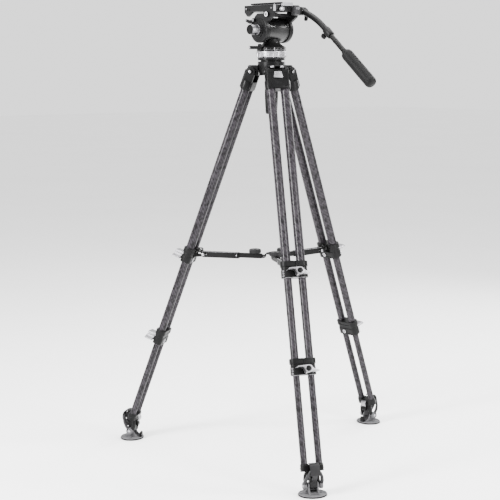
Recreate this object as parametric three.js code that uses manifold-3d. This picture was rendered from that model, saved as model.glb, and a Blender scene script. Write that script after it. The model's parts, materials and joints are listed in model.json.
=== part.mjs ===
// A three-section twin-tube carbon video tripod: 75 mm bowl, mid-level spreader,
// pivoting feet and a fluid head with one pan handle.
// Millimetres, +Z up. The origin is on the floor, in the middle of the whole outline
// seen from above. The head looks along +Y, its operator stands at -Y.
import * as THREE from 'three';
import { mergeVertices } from 'three/addons/utils/BufferGeometryUtils.js';
import Module from 'manifold-3d';

const wasm = await Module();
wasm.setup();

// ---- driving dimensions -------------------------------------------------

const RAD = Math.PI / 180;
const GAP = 0.3;                          // clearance between pieces that touch
const UPRIGHT_AXIS = [-110.44, 21.3];     // X and Y of the bowl's centre line
const LEG_AZIMUTHS = [-25.3, 94.7, 214.7];  // degrees from -Y, counterclockwise seen from above

const HINGE_RADIUS = 64.7;                // leg hinge, from the upright axis
const HINGE_HEIGHT = 1330;
const LEG_ANGLE = 19.97 * RAD;            // leg from upright
const ANKLE_RADIUS = 526;                 // ankle pin, from the upright axis
const ANKLE_HEIGHT = 32;
const HEAD_END = 62;                      // this and the next are distances down the leg
const UPPER_CLAMP = [655, 709];
const LOWER_CLAMP = [974, 1028];
const MIDDLE_TOP = 600;
const LOWER_TOP = 930;
const YOKE = [1313.7, 1342];

const TUBE_SPACING = 49.3;                // between the two tubes of a leg
const UPPER_OD = 30;
const UPPER_ID = 27;
const MIDDLE_OD = 26;
const MIDDLE_ID = 23;
const LOWER_OD = 22;
const LOWER_ID = 19;
const TUBE_SIDES = 12;
const ROUND_SIDES = 24;
const SMALL_SIDES = 12;

const PAD_HALF_WIDTH = 47.5;              // across the leg, and along it
const PAD_HALF_DEPTH = 42;
const PAD_THICKNESS = 8;

const SPREADER_HEIGHT = 691;
const SPREADER_PIN_RADIUS = 24;           // hub pins
const BRACKET_PIN_RADIUS = 245;           // leg bracket pins
const CHANNEL_INNER_END = 116;
const CHANNEL_WIDTH = 18;
const CHANNEL_HEIGHT = 20.5;
const CHANNEL_WALL = 2;
const BAR_OUTER_END = 156;
const BAR_WIDTH = 13.2;
const BAR_HEIGHT = 14;
const ARM_KNOB_RADIUS_AT = 58;
const HUB_RADIUS = 18;

const BOWL_RADIUS = 47;
const BALL_RADIUS = 37.5;
const BALL_CENTRE = 1365;
const RIM_TOP = 1364.5;

const TILT_HEIGHT = 1471;                 // tilt axis, along X
const CHEEK_RADIUS = 44.5;
const DRUM_RADIUS = 41;
const LEFT_CHEEK = [-57, -45];
const RIGHT_CHEEK = [46, 68];
const PLATFORM_X = [-57, 58];
const PLATFORM_Y = [-76, 77];
const PLATFORM_Z = [1531, 1553];
const PLATE_HALF_LENGTH = 85;
const PLATE_HALF_WIDTH = 23;
const PLATE_TOP = 1562;

const HANDLE_X = 69.2;
const HANDLE_PIVOT = [-80, 1533];         // Y and Z of the rosette
const HANDLE_BEND = [-145, 1512.1];
const HANDLE_STRAIGHT = [-190, 1476.2];   // end of the bent stretch
const HANDLE_SLOPE = 38.6 * RAD;
const HANDLE_OD = 21;
const EXTENSION_OD = 18;
const GRIP_LENGTH = 178;
const GRIP_RADIUS = 20;
const GRIP_START = 121;                   // down the straight stretch
const COLLAR = [10, 46];

// ---- materials ----------------------------------------------------------

function finish(color, roughness, metalness) {
  return new THREE.MeshStandardMaterial({ color, roughness, metalness });
}

const castBlack = finish(0x1b1b1d, 0.45, 0.4);
const carbon = finish(0x3a383c, 0.35, 0.1);
const silver = finish(0xc4c4c6, 0.3, 0.9);
const gunmetal = finish(0x3b3b40, 0.35, 0.6);
const greyPlastic = finish(0x77757a, 0.6, 0.0);
const rubber = finish(0x2b292c, 0.85, 0.0);
const steel = finish(0xb8b8ba, 0.25, 1.0);
const vial = finish(0xe6e9d8, 0.1, 0.0);

// ---- solids -------------------------------------------------------------

function toSolid(geometry) {
  const bare = geometry.clone();
  bare.deleteAttribute('normal');
  bare.deleteAttribute('uv');
  const merged = mergeVertices(bare, 1e-4);
  return new wasm.Manifold(new wasm.Mesh({
    numProp: 3,
    vertProperties: new Float32Array(merged.attributes.position.array),
    triVerts: new Uint32Array(merged.index.array),
  }));
}

function toGeometry(solid) {
  const mesh = solid.getMesh();
  const geometry = new THREE.BufferGeometry();
  geometry.setAttribute('position', new THREE.BufferAttribute(mesh.vertProperties, 3));
  geometry.setIndex(new THREE.BufferAttribute(mesh.triVerts, 1));
  geometry.computeVertexNormals();
  return geometry;
}

// Joins the pieces, then takes the cuts away; both are lists of geometries.
function carve(pieces, cuts = []) {
  let solid = toSolid(pieces[0]);
  for (const piece of pieces.slice(1)) solid = solid.add(toSolid(piece));
  for (const cut of cuts) solid = solid.subtract(toSolid(cut));
  return toGeometry(solid);
}

function box(x, y, z) {
  const geometry = new THREE.BoxGeometry(x[1] - x[0], y[1] - y[0], z[1] - z[0]);
  return geometry.translate((x[0] + x[1]) / 2, (y[0] + y[1]) / 2, (z[0] + z[1]) / 2);
}

// A cylinder along X, Y or Z from one end to the other, about the two other coordinates.
function rod(axis, radius, ends, at, sides = SMALL_SIDES) {
  const geometry = new THREE.CylinderGeometry(radius, radius, ends[1] - ends[0], sides);
  const middle = (ends[0] + ends[1]) / 2;
  if (axis === 'x') return geometry.rotateZ(-Math.PI / 2).translate(middle, at[0], at[1]);
  if (axis === 'y') return geometry.translate(at[0], middle, at[1]);
  return geometry.rotateX(Math.PI / 2).translate(at[0], at[1], middle);
}

// A turned solid about Z from [radius, height] points that start and end on the axis.
function turned(profile, sides = ROUND_SIDES) {
  const points = profile.map(([radius, height]) => new THREE.Vector2(radius, height));
  return new THREE.LatheGeometry(points, sides).rotateX(Math.PI / 2);
}

function shapeOf(points) {
  return new THREE.Shape(points.map(([a, b]) => new THREE.Vector2(a, b)));
}

// An outline in the XY plane, extruded along Z.
function slab(points, z) {
  const settings = { depth: z[1] - z[0], bevelEnabled: false };
  return new THREE.ExtrudeGeometry(shapeOf(points), settings).translate(0, 0, z[0]);
}

// An outline of [x, z] points, extruded along Y.
function sidePlate(points, y) {
  return slab(points, [-y[1], -y[0]]).rotateX(Math.PI / 2);
}

// An outline of [y, z] points, extruded along X.
function crossPlate(points, x) {
  return slab(points, x).applyMatrix4(new THREE.Matrix4().makeBasis(
    new THREE.Vector3(0, 1, 0), new THREE.Vector3(0, 0, 1), new THREE.Vector3(1, 0, 0)));
}

// Points on an arc, in degrees counterclockwise, both ends included.
function arc(centre, radius, from, to, steps) {
  const points = [];
  for (let i = 0; i <= steps; i += 1) {
    const angle = (from + (to - from) * i / steps) * RAD;
    points.push([centre[0] + radius * Math.cos(angle), centre[1] + radius * Math.sin(angle)]);
  }
  return points;
}

// A rounded rectangle about the origin.
function rounded(halfX, halfY, radius, steps = 3) {
  return [
    ...arc([halfX - radius, halfY - radius], radius, 0, 90, steps),
    ...arc([radius - halfX, halfY - radius], radius, 90, 180, steps),
    ...arc([radius - halfX, radius - halfY], radius, 180, 270, steps),
    ...arc([halfX - radius, radius - halfY], radius, 270, 360, steps),
  ];
}

const object = new THREE.Group();
const tripod = new THREE.Group();
tripod.position.set(...UPRIGHT_AXIS, 0);
object.add(tripod);

function addMesh(parent, name, geometry, material) {
  const mesh = new THREE.Mesh(geometry, material);
  mesh.name = name;
  parent.add(mesh);
  return mesh;
}

// ---- crown --------------------------------------------------------------

function legTurn(azimuth) {
  return (azimuth - 90) * RAD;
}

// The lug that carries one leg: it points along X before it is turned.
function crownLug(azimuth) {
  const outline = [
    [30, 1316],
    ...arc([HINGE_RADIUS, HINGE_HEIGHT], 13, -95, 60, 8),
    [72, 1343.5],
    [78, 1343.5],
    [78, 1350],
    [75, 1353],
    [30, 1353],
  ];
  return sidePlate(outline, [-26, 26]).rotateZ(legTurn(azimuth));
}

function crown() {
  const outside = [
    [0, 1318], [36, 1318], [42, 1324], [45, 1340], [BOWL_RADIUS, 1352],
    [BOWL_RADIUS, RIM_TOP], [0, RIM_TOP],
  ];
  const clearRadius = BALL_RADIUS + 0.9;
  const seat = [
    [0, 1310], [18, 1310],
    ...arc([0, BALL_CENTRE], clearRadius, -60, 0, 6),
    [clearRadius, 1370], [0, 1370],
  ];
  const lugs = LEG_AZIMUTHS.map(crownLug);
  const pinHoles = LEG_AZIMUTHS.map((azimuth) => rod(
    'y', 6.6, [-30, 30], [HINGE_RADIUS, HINGE_HEIGHT]).rotateZ(legTurn(azimuth)));
  return carve([turned(outside), ...lugs], [turned(seat), ...pinHoles]);
}

addMesh(tripod, 'bowl_crown', crown(), castBlack);

function bowlClampKnob() {
  return turned([
    [0, 1186], [17, 1186], [20, 1189], [23, 1250], [23, 1272], [18, 1279], [10, 1281],
    [10, 1296], [22, 1299], [22, 1304], [7, 1308], [7, 1322], [0, 1322],
  ], 24);
}

addMesh(tripod, 'bowl_clamp_knob', bowlClampKnob(), castBlack);

// ---- legs ---------------------------------------------------------------
// In a leg's own frame X points outward, Y along the hinge pin, and -Z down the leg.

const TUBE_SIDES_Y = [-TUBE_SPACING / 2, TUBE_SPACING / 2];

function tubePair(radius, from, to) {
  return TUBE_SIDES_Y.map((y) => rod('z', radius, [-to, -from], [0, y], TUBE_SIDES));
}

function hollowTube(y, outer, inner, from, to) {
  return carve(
    [rod('z', outer / 2, [-to, -from], [0, y], TUBE_SIDES)],
    [rod('z', inner / 2, [-to - 1, -from + 1], [0, y], TUBE_SIDES)]);
}

function legHead() {
  const cheek = [
    [-17, -HEAD_END], [17, -HEAD_END], [17, 0], ...arc([0, 0], 17, 0, 180, 8), [-17, 0],
  ];
  const sleeve = slab(rounded(19, 43.5, 17), [-HEAD_END, -32]);
  const web = box([14.2, 20], [-40, 40], [-HEAD_END, 3]);
  const cheeks = [sidePlate(cheek, [-38, -27]), sidePlate(cheek, [27, 38])];
  const catchPocket = sidePlate([[17.2, -23], [30, -23], [30, 1], [17.2, 1]], [-19, 19]);
  return carve([sleeve, web, ...cheeks], [
    ...tubePair(UPPER_OD / 2 + GAP, 34, HEAD_END + 1),
    rod('y', 6.3, [-45, 45], [0, 0]),
    catchPocket,
  ]);
}

function hingeBolt() {
  return turned([
    [0, -42.5], [9, -42.5], [11, -41], [11, -38.3], [6, -38.3],
    [6, 38.3], [11, 38.3], [11, 41], [9, 42.5], [0, 42.5],
  ], SMALL_SIDES).rotateX(Math.PI / 2);
}

// Angle stop: a tapered tab that is pulled outward to free the leg.
function angleCatch() {
  const outline = [[-17, -22], [17, -22], [12.5, 0], [-12.5, 0]];
  return crossPlate(outline, [17.6, 22.5]);
}

function clampBody(halfX, halfY, from, to) {
  const middle = (from + to) / 2;
  return [
    slab(rounded(halfX, halfY, halfX - 2), [-middle - 4, -from]),
    slab(rounded(halfX - 1.5, halfY - 1.5, halfX - 4), [-to, -middle]),
  ];
}

const BRACKET_X = -48.9;                  // spreader pin in the leg's frame
const BRACKET_Z = -662.2;

function bracketEar(y) {
  const ear = [
    ...arc([BRACKET_X, BRACKET_Z], 8.5, 100, 280, 8),
    [-14, -688], [-14, -652],
  ];
  return sidePlate(ear, y);
}

function upperClamp() {
  const [from, to] = UPPER_CLAMP;
  const half = CHANNEL_WIDTH / 2 + 0.8;
  const solids = [
    ...clampBody(20.5, 46, from, to),
    bracketEar([-half - 5, -half]),
    bracketEar([half, half + 5]),
    rod('y', 4, [-half - 1, half + 1], [BRACKET_X, BRACKET_Z]),
  ];
  return carve(solids, [
    ...tubePair(UPPER_OD / 2 + GAP, from - 1, to - 14),
    ...tubePair(MIDDLE_OD / 2 + GAP, to - 16, to + 1),
  ]);
}

const LEVER_Y = 6;                        // lever pivot, off the leg's middle
const LEVER_RISE = 16;                    // lever pivot, above the clamp's lower end

// A silver cam lever that stands out from a clamp, with a round hub on its pivot.
function clampLever(x, clampEnd) {
  const at = clampEnd - LEVER_RISE;
  const blade = [
    [-40, 6], [-35, 10.5], [-8, 12], [4, 12.4], [12, 8], [16, 0], [37, -6], [37, -9.5],
    [10, -11], [-2, -14], [-8, -14], [-10, -4], [-16, 6], [-33, 6.4], [-38, 2.5],
  ].map(([y, z]) => [LEVER_Y + y, z - at]);
  const hub = rod('x', 11, [x + 0.4, x + 12], [LEVER_Y, -at], SMALL_SIDES);
  return carve([crossPlate(blade.reverse(), [x + 1.5, x + 31]), hub]);
}

function middleStage() {
  const [from, to] = LOWER_CLAMP;
  const solids = [...clampBody(18.5, 43.5, from, to), ...tubePair(MIDDLE_OD / 2, MIDDLE_TOP, from + 20)];
  return carve(solids, tubePair(MIDDLE_ID / 2, MIDDLE_TOP - 1, to + 1));
}

// The ankle pin's [x, z] in the leg's own frame.
const fromHinge = [ANKLE_RADIUS - HINGE_RADIUS, ANKLE_HEIGHT - HINGE_HEIGHT];
const ANKLE = [
  fromHinge[0] * Math.cos(LEG_ANGLE) + fromHinge[1] * Math.sin(LEG_ANGLE),
  fromHinge[1] * Math.cos(LEG_ANGLE) - fromHinge[0] * Math.sin(LEG_ANGLE),
];

// Lower tubes, the yoke across their ends, its boss on the ankle pin, and a curved
// strap that stands out in front of the yoke.
function lowerStage() {
  const [from, to] = YOKE;
  const boss = [...arc(ANKLE, 12, 160, 345, 8), [15, 2 - to], [-15, 2 - to]];
  const strap = [
    [3, -1361], [18, -1352], [32, -1331], [40, -1313], [38, -1297], [30, -1287], [19, -1282],
    [19, -1288], [26, -1292], [32.5, -1300], [33.5, -1312], [26, -1328], [14, -1345], [6, -1345],
  ];
  const solids = [
    slab(rounded(15, 38, 13), [-to, -from]),
    sidePlate(boss, [-11.5, 11.5]),
    sidePlate(strap, [-10, 10]),
    sidePlate(strap.slice(2, 12), [-16.5, 16.5]),
    ...tubePair(LOWER_OD / 2, LOWER_TOP, from + 10),
  ];
  return carve(solids, [
    ...tubePair(LOWER_ID / 2, LOWER_TOP - 1, from - 4),
    rod('y', 4.6, [-20, 20], ANKLE),
  ]);
}

// Stands upright under the ankle: X outward, Y along the ankle pin.
function foot() {
  const cheek = [
    [-30, PAD_THICKNESS - 1], [30, PAD_THICKNESS - 1], [15, 22],
    ...arc([0, ANKLE_HEIGHT], 11, -20, 200, 8), [-15, 22],
  ];
  const pad = turned([
    [0, 0], [PAD_HALF_WIDTH - 1.5, 0], [PAD_HALF_WIDTH, 2], [PAD_HALF_WIDTH, PAD_THICKNESS - 1.5],
    [PAD_HALF_WIDTH - 3, PAD_THICKNESS], [0, PAD_THICKNESS],
  ]).scale(PAD_HALF_DEPTH / PAD_HALF_WIDTH, 1, 1);
  return carve([
    pad,
    sidePlate(cheek, [-18, -12.5]),
    sidePlate(cheek, [12.5, 18]),
    rod('y', 4, [-20, 20], [0, ANKLE_HEIGHT]),
  ]);
}

function addLeg(station, name) {
  const leg = new THREE.Group();
  leg.position.set(HINGE_RADIUS, 0, HINGE_HEIGHT);
  leg.rotation.y = -LEG_ANGLE;
  station.add(leg);
  addMesh(leg, `${name}_head`, legHead(), castBlack);
  addMesh(leg, `${name}_hinge_bolt`, hingeBolt(), steel);
  addMesh(leg, `${name}_angle_catch`, angleCatch(), silver);
  const tubeEnd = UPPER_CLAMP[1] - 14 - GAP;
  TUBE_SIDES_Y.forEach((y, i) => {
    const tube = hollowTube(y, UPPER_OD, UPPER_ID, 34 + GAP, tubeEnd);
    addMesh(leg, `${name}_upper_tube_${'ab'[i]}`, tube, carbon);
  });
  addMesh(leg, `${name}_upper_clamp`, upperClamp(), castBlack);
  addMesh(leg, `${name}_upper_lever`, clampLever(20.5, UPPER_CLAMP[1]), silver);
  addMesh(leg, `${name}_middle_stage`, middleStage(), carbon);
  addMesh(leg, `${name}_lower_lever`, clampLever(18.5, LOWER_CLAMP[1]), silver);
  addMesh(leg, `${name}_lower_stage`, lowerStage(), carbon);

  const stand = new THREE.Group();
  stand.position.x = ANKLE_RADIUS;
  station.add(stand);
  addMesh(stand, `${name}_foot`, foot(), greyPlastic);
}

// ---- spreader -----------------------------------------------------------

// Outer channel, open on top, with the leg bracket's pin through its outer end.
function spreaderChannel() {
  const half = CHANNEL_WIDTH / 2;
  const low = SPREADER_HEIGHT - CHANNEL_HEIGHT / 2;
  const high = SPREADER_HEIGHT + CHANNEL_HEIGHT / 2;
  const inner = half - CHANNEL_WALL;
  const outerEnd = BRACKET_PIN_RADIUS + 8;
  const body = sidePlate([
    [CHANNEL_INNER_END, low], [outerEnd - 5, low], [outerEnd, low + 5],
    [outerEnd, high - 5], [outerEnd - 5, high], [CHANNEL_INNER_END, high],
  ], [-half, half]);
  return carve([body], [
    box([CHANNEL_INNER_END - 1, outerEnd + 1], [-inner, inner], [low + 2.8, high + 1]),
    rod('y', 4.4, [-half - 1, half + 1], [BRACKET_PIN_RADIUS, SPREADER_HEIGHT]),
  ]);
}

// Inner bar, with a narrow nose about its hub pin.
function spreaderBar() {
  const low = SPREADER_HEIGHT - BAR_HEIGHT / 2;
  const high = SPREADER_HEIGHT + BAR_HEIGHT / 2;
  const nose = arc([SPREADER_PIN_RADIUS, SPREADER_HEIGHT], 5, 90, 270, 8);
  const profile = sidePlate(
    [...nose, [37, low], [BAR_OUTER_END, low], [BAR_OUTER_END, high], [37, high]],
    [-BAR_WIDTH / 2, BAR_WIDTH / 2]);
  const cheekCuts = [-1, 1].map((side) => sidePlate(
    [[10, low - 1], [34, low - 1], [34, high + 1], [10, high + 1]],
    side < 0 ? [-20, -3.4] : [3.4, 20]));
  return carve([profile], cheekCuts);
}

function armKnob() {
  const low = SPREADER_HEIGHT + CHANNEL_HEIGHT / 2 + 1;
  const stem = SPREADER_HEIGHT + BAR_HEIGHT / 2 + GAP;
  return turned([
    [0, stem], [4.5, stem], [4.5, low], [20, low], [21, low + 2], [21, low + 15], [18, low + 18],
    [0, low + 18],
  ], 24).translate(ARM_KNOB_RADIUS_AT, 0, 0);
}

function addSpreaderArm(station, name) {
  addMesh(station, `${name}_spreader_channel`, spreaderChannel(), castBlack);
  addMesh(station, `${name}_spreader_bar`, spreaderBar(), gunmetal);
  addMesh(station, `${name}_spreader_knob`, armKnob(), greyPlastic);
}

function spreaderHub() {
  const low = SPREADER_HEIGHT + 9;
  return turned([
    [0, low], [HUB_RADIUS - 2, low], [HUB_RADIUS, low + 2], [HUB_RADIUS - 2, low + 6],
    [HUB_RADIUS - 8, low + 8], [0, low + 8],
  ]);
}

LEG_AZIMUTHS.forEach((azimuth, i) => {
  const station = new THREE.Group();
  station.rotation.z = legTurn(azimuth);
  tripod.add(station);
  addLeg(station, `leg${i + 1}`);
  addSpreaderArm(station, `leg${i + 1}`);
});

addMesh(tripod, 'spreader_hub', spreaderHub(), greyPlastic);

// ---- head: half ball, rings and drum ------------------------------------

function halfBall() {
  return turned([
    [0, 1329.5],
    ...arc([0, BALL_CENTRE], BALL_RADIUS, -70, 0, 7),
    [BALL_RADIUS, 1368.6], [46, 1368.6], [47, 1369.6], [47, 1377.7],
    [20, 1377.7], [20, 1399.7], [0, 1399.7],
  ]);
}

// Fluted ring: shallow scallops round its rim.
function dragRing() {
  const flutes = 20;
  const rim = [];
  for (let i = 0; i < flutes * 3; i += 1) {
    const angle = 2 * Math.PI * i / (flutes * 3);
    const radius = i % 3 === 0 ? 49.6 : 51.4;
    rim.push([radius * Math.cos(angle), radius * Math.sin(angle)]);
  }
  return carve([slab(rim, [1378, 1399.8])], [rod('z', 20.6, [1370, 1410], [0, 0], 32)]);
}

function panBase() {
  const neck = turned([
    [0, 1400.2], [49, 1400.2], [50, 1401.5], [50, 1412.5], [48.5, 1414], [42, 1417], [33, 1423],
    [28, 1430], [27, 1455], [0, 1455],
  ]);
  const drum = rod('x', DRUM_RADIUS, [LEFT_CHEEK[1] + 0.4, RIGHT_CHEEK[0] - 0.4], [0, TILT_HEIGHT], 40);
  const leverBoss = box([-66, -40], [-16, 0], [1401, 1405]);
  return carve([neck, drum, leverBoss]);
}

// Lock lever below the left cheek, turning about an upright pin.
function panLockLever() {
  const arm = [
    ...arc([-59, -8], 6.5, -90, 90, 6), [-66, 4], [-84, 16], [-90, 14], [-88, 6], [-72, -7],
  ];
  return carve([slab(arm, [1405.4, 1417]), rod('z', 6.5, [1416, 1424], [-59, -8])]);
}

addMesh(tripod, 'half_ball_base', halfBall(), castBlack);
addMesh(tripod, 'pan_drag_ring', dragRing(), silver);
addMesh(tripod, 'pan_base', panBase(), gunmetal);
addMesh(tripod, 'pan_lock_lever', panLockLever(), castBlack);

// ---- head: tilting cradle -----------------------------------------------

// A cheek: round about the tilt axis, sloping back to the rear half of the platform,
// with a slot under the platform in front of that.
function cheek(x, radius, top) {
  const outline = [
    ...arc([0, TILT_HEIGHT], radius, 150, 395, 24),
    [20.4, 1517.2], [8, 1525.5], [-25, 1525.5], [-25, top], [PLATFORM_Y[0], top], [-70, 1512],
  ];
  return crossPlate(outline, x);
}

function tiltCradle() {
  const [low, high] = PLATFORM_Z;
  const wedge = [[34, low + 1], [34, low], [61, 1515], [PLATFORM_Y[1], 1530], [PLATFORM_Y[1], low + 1]];
  const wedges = [
    crossPlate(wedge, LEFT_CHEEK),
    crossPlate(wedge, [RIGHT_CHEEK[0], PLATFORM_X[1]]),
  ];
  const web = box([LEFT_CHEEK[1] - 1, RIGHT_CHEEK[0] + 1], [-46, 12], [1514.5, 1525.5]);
  const handleBlock = crossPlate(
    [[-95, 1549], [-95, 1522], [-88, 1518], [-74, 1518], [-74, 1549]], [24, PLATFORM_X[1]]);
  const housing = rod('x', CHEEK_RADIUS - 1.5, [RIGHT_CHEEK[0] + 8, RIGHT_CHEEK[1]], [0, TILT_HEIGHT], 40);
  const groove = box([-PLATE_HALF_WIDTH - 0.7, PLATE_HALF_WIDTH + 0.7], [-200, 200], [high - 6, high + 9]);
  const bubblePocket = rod('x', 9, [-70, LEFT_CHEEK[0] + 5], [-48, 1521], SMALL_SIDES);
  return carve([
    box(PLATFORM_X, PLATFORM_Y, PLATFORM_Z),
    ...wedges,
    web,
    cheek(LEFT_CHEEK, CHEEK_RADIUS, low + 1),
    cheek([RIGHT_CHEEK[0], RIGHT_CHEEK[0] + 12], CHEEK_RADIUS, low + 1),
    handleBlock,
    housing,
  ], [groove, bubblePocket]);
}

function bubbleLevel() {
  return turned([
    [0, 0], [8.5, 0], [8.5, 12], [7, 13.5], [0, 13.5],
  ], SMALL_SIDES).rotateY(-Math.PI / 2).translate(LEFT_CHEEK[0] + 4.7, -48, 1521);
}

function counterbalanceKnob() {
  const start = -LEFT_CHEEK[0] + 0.4;
  return turned([
    [0, start], [24, start], [24, start + 3], [17.5, start + 4], [17.5, start + 38], [16, start + 40],
    [0, start + 40],
  ], 24).rotateY(-Math.PI / 2).translate(0, 0, TILT_HEIGHT);
}

// Lock lever on the left cheek's front shoulder, turning about a pin along X.
function tiltLockLever() {
  const outline = [
    ...arc([22, 1503], 7.5, 20, 200, 6), [40, 1490], [56, 1496], [64, 1500], [65, 1507], [56, 1508],
    [42, 1503],
  ].reverse();
  return crossPlate(outline, [LEFT_CHEEK[0] - 8, LEFT_CHEEK[0] - 0.4]);
}

function quickPlate() {
  const groovePart = box(
    [-PLATE_HALF_WIDTH + 0.2, PLATE_HALF_WIDTH - 0.2], [-76, 76], [PLATFORM_Z[1] - 5.6, PLATE_TOP - 5]);
  const slabPart = box(
    [-PLATE_HALF_WIDTH, PLATE_HALF_WIDTH], [-PLATE_HALF_LENGTH, PLATE_HALF_LENGTH],
    [PLATE_TOP - 6, PLATE_TOP]);
  const endStop = box(
    [-PLATE_HALF_WIDTH, PLATE_HALF_WIDTH], [-PLATE_HALF_LENGTH, PLATFORM_Y[0] - 1],
    [PLATE_TOP - 13, PLATE_TOP]);
  const slot = slab([
    ...arc([0, 50], 3.4, 0, 180, 6), ...arc([0, -50], 3.4, 180, 360, 6),
  ], [PLATFORM_Z[1] - 10, PLATE_TOP + 1]);
  return carve([groovePart, slabPart, endStop], [slot]);
}

function plateLockKnob() {
  const start = -PLATFORM_Y[0] + 0.4;
  return turned([
    [0, start], [4, start], [4, start + 4], [7, start + 5], [7, start + 15], [5.5, start + 17],
    [0, start + 17],
  ], SMALL_SIDES).rotateX(Math.PI / 2).translate(-27, 0, 1538);
}

addMesh(tripod, 'tilt_cradle', tiltCradle(), gunmetal);
addMesh(tripod, 'bubble_level', bubbleLevel(), vial);
addMesh(tripod, 'counterbalance_knob', counterbalanceKnob(), silver);
addMesh(tripod, 'tilt_lock_lever', tiltLockLever(), castBlack);
addMesh(tripod, 'quick_plate', quickPlate(), castBlack);
addMesh(tripod, 'plate_lock_knob', plateLockKnob(), silver);

// ---- pan handle ---------------------------------------------------------

function handlePoint([y, z]) {
  return new THREE.Vector3(HANDLE_X, y, z);
}

// A point on the straight stretch, a distance along it and a distance below it.
function alongHandle(distance, below = 0) {
  const [y, z] = HANDLE_STRAIGHT;
  return [
    y - distance * Math.cos(HANDLE_SLOPE) + below * Math.sin(HANDLE_SLOPE),
    z - distance * Math.sin(HANDLE_SLOPE) - below * Math.cos(HANDLE_SLOPE),
  ];
}

// Puts a solid that was turned about +Z onto the straight stretch, pointing down it.
function ontoHandle(geometry) {
  geometry.rotateX(Math.PI / 2 + HANDLE_SLOPE);
  return geometry.translate(HANDLE_X, HANDLE_STRAIGHT[0], HANDLE_STRAIGHT[1]);
}

function handleArm() {
  const path = new THREE.CurvePath();
  const end = handlePoint(alongHandle(COLLAR[1] - 2));
  path.add(new THREE.QuadraticBezierCurve3(
    handlePoint(HANDLE_PIVOT), handlePoint(HANDLE_BEND), handlePoint(HANDLE_STRAIGHT)));
  path.add(new THREE.LineCurve3(handlePoint(HANDLE_STRAIGHT), end));
  const section = new THREE.Shape();
  section.absarc(0, 0, HANDLE_OD / 2, 0, 2 * Math.PI);
  const arm = new THREE.ExtrudeGeometry(section, { steps: 14, extrudePath: path, curveSegments: 6 });
  const collar = ontoHandle(rod('z', 14, COLLAR, [0, 0], 18));
  const bore = ontoHandle(rod('z', EXTENSION_OD / 2 + GAP, [-18, COLLAR[1] + 1], [0, 0], SMALL_SIDES));
  const hub = rod('x', 14, [PLATFORM_X[1] + 0.5, HANDLE_X + 11], HANDLE_PIVOT, 18);
  return carve([arm, collar, hub], [bore]);
}

function rosetteKnob() {
  const [y, z] = HANDLE_PIVOT;
  const from = HANDLE_X + 11.4;
  const hub = rod('x', 10, [from, from + 9], [y, z], SMALL_SIDES);
  const arm = crossPlate([
    [y - 5, z], [y - 7, z - 26], [y, z - 31], [y + 7, z - 26], [y + 5, z],
  ], [from + 1, from + 8]);
  return carve([hub, arm]);
}

function wingKnob() {
  const knob = turned([[0, 14.3], [5, 14.3], [5, 18], [10, 20], [11, 28], [8, 32], [0, 32]], SMALL_SIDES);
  knob.rotateX(Math.PI + HANDLE_SLOPE);
  const [y, z] = alongHandle(COLLAR[0] + 8);
  return knob.translate(HANDLE_X, y, z);
}

function extensionTube() {
  return ontoHandle(rod('z', EXTENSION_OD / 2, [-16, GRIP_START + 40], [0, 0], SMALL_SIDES));
}

function grip() {
  const end = GRIP_START + GRIP_LENGTH;
  const outside = turned([
    [0, GRIP_START], [12, GRIP_START], [17, GRIP_START + 5], [GRIP_RADIUS, GRIP_START + 14],
    [GRIP_RADIUS, end - 14], [17, end - 5], [11, end], [0, end],
  ], 24);
  const bore = rod('z', EXTENSION_OD / 2 + GAP, [GRIP_START - 1, GRIP_START + 41], [0, 0], SMALL_SIDES);
  return ontoHandle(carve([outside], [bore]));
}

addMesh(tripod, 'handle_arm', handleArm(), castBlack);
addMesh(tripod, 'handle_rosette_knob', rosetteKnob(), castBlack);
addMesh(tripod, 'handle_wing_knob', wingKnob(), castBlack);
addMesh(tripod, 'handle_extension', extensionTube(), carbon);
addMesh(tripod, 'handle_grip', grip(), rubber);

export default object;
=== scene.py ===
"""The looks of a twin-tube carbon-fibre video tripod with a fluid head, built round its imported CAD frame.

Pieces are drawn in millimetres in a local frame (a leg's, a foot's, the head's) and placed in metres.
"""

import json
import math

import bmesh
import bpy
from mathutils import Matrix, Vector


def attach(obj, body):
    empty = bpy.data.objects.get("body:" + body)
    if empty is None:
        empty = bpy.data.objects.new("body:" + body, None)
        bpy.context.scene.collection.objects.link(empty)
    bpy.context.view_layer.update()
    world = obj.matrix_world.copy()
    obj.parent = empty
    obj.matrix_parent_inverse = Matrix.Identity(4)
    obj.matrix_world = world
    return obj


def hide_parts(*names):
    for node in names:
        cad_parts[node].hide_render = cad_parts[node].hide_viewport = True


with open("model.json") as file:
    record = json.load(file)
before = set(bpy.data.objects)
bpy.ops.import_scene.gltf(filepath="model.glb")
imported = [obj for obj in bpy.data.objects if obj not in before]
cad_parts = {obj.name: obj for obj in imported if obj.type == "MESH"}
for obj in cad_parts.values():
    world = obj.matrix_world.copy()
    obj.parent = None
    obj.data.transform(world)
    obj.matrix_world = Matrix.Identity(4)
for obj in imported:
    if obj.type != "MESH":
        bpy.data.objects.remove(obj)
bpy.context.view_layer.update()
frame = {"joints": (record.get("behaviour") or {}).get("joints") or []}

MM = 0.001
BEVEL_ANGLE = math.radians(28.0)
JOINTS = {joint["name"]: joint for joint in frame["joints"]}
LEGS = ("leg1", "leg2", "leg3")

# ---- sizes, in millimetres ----

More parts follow.
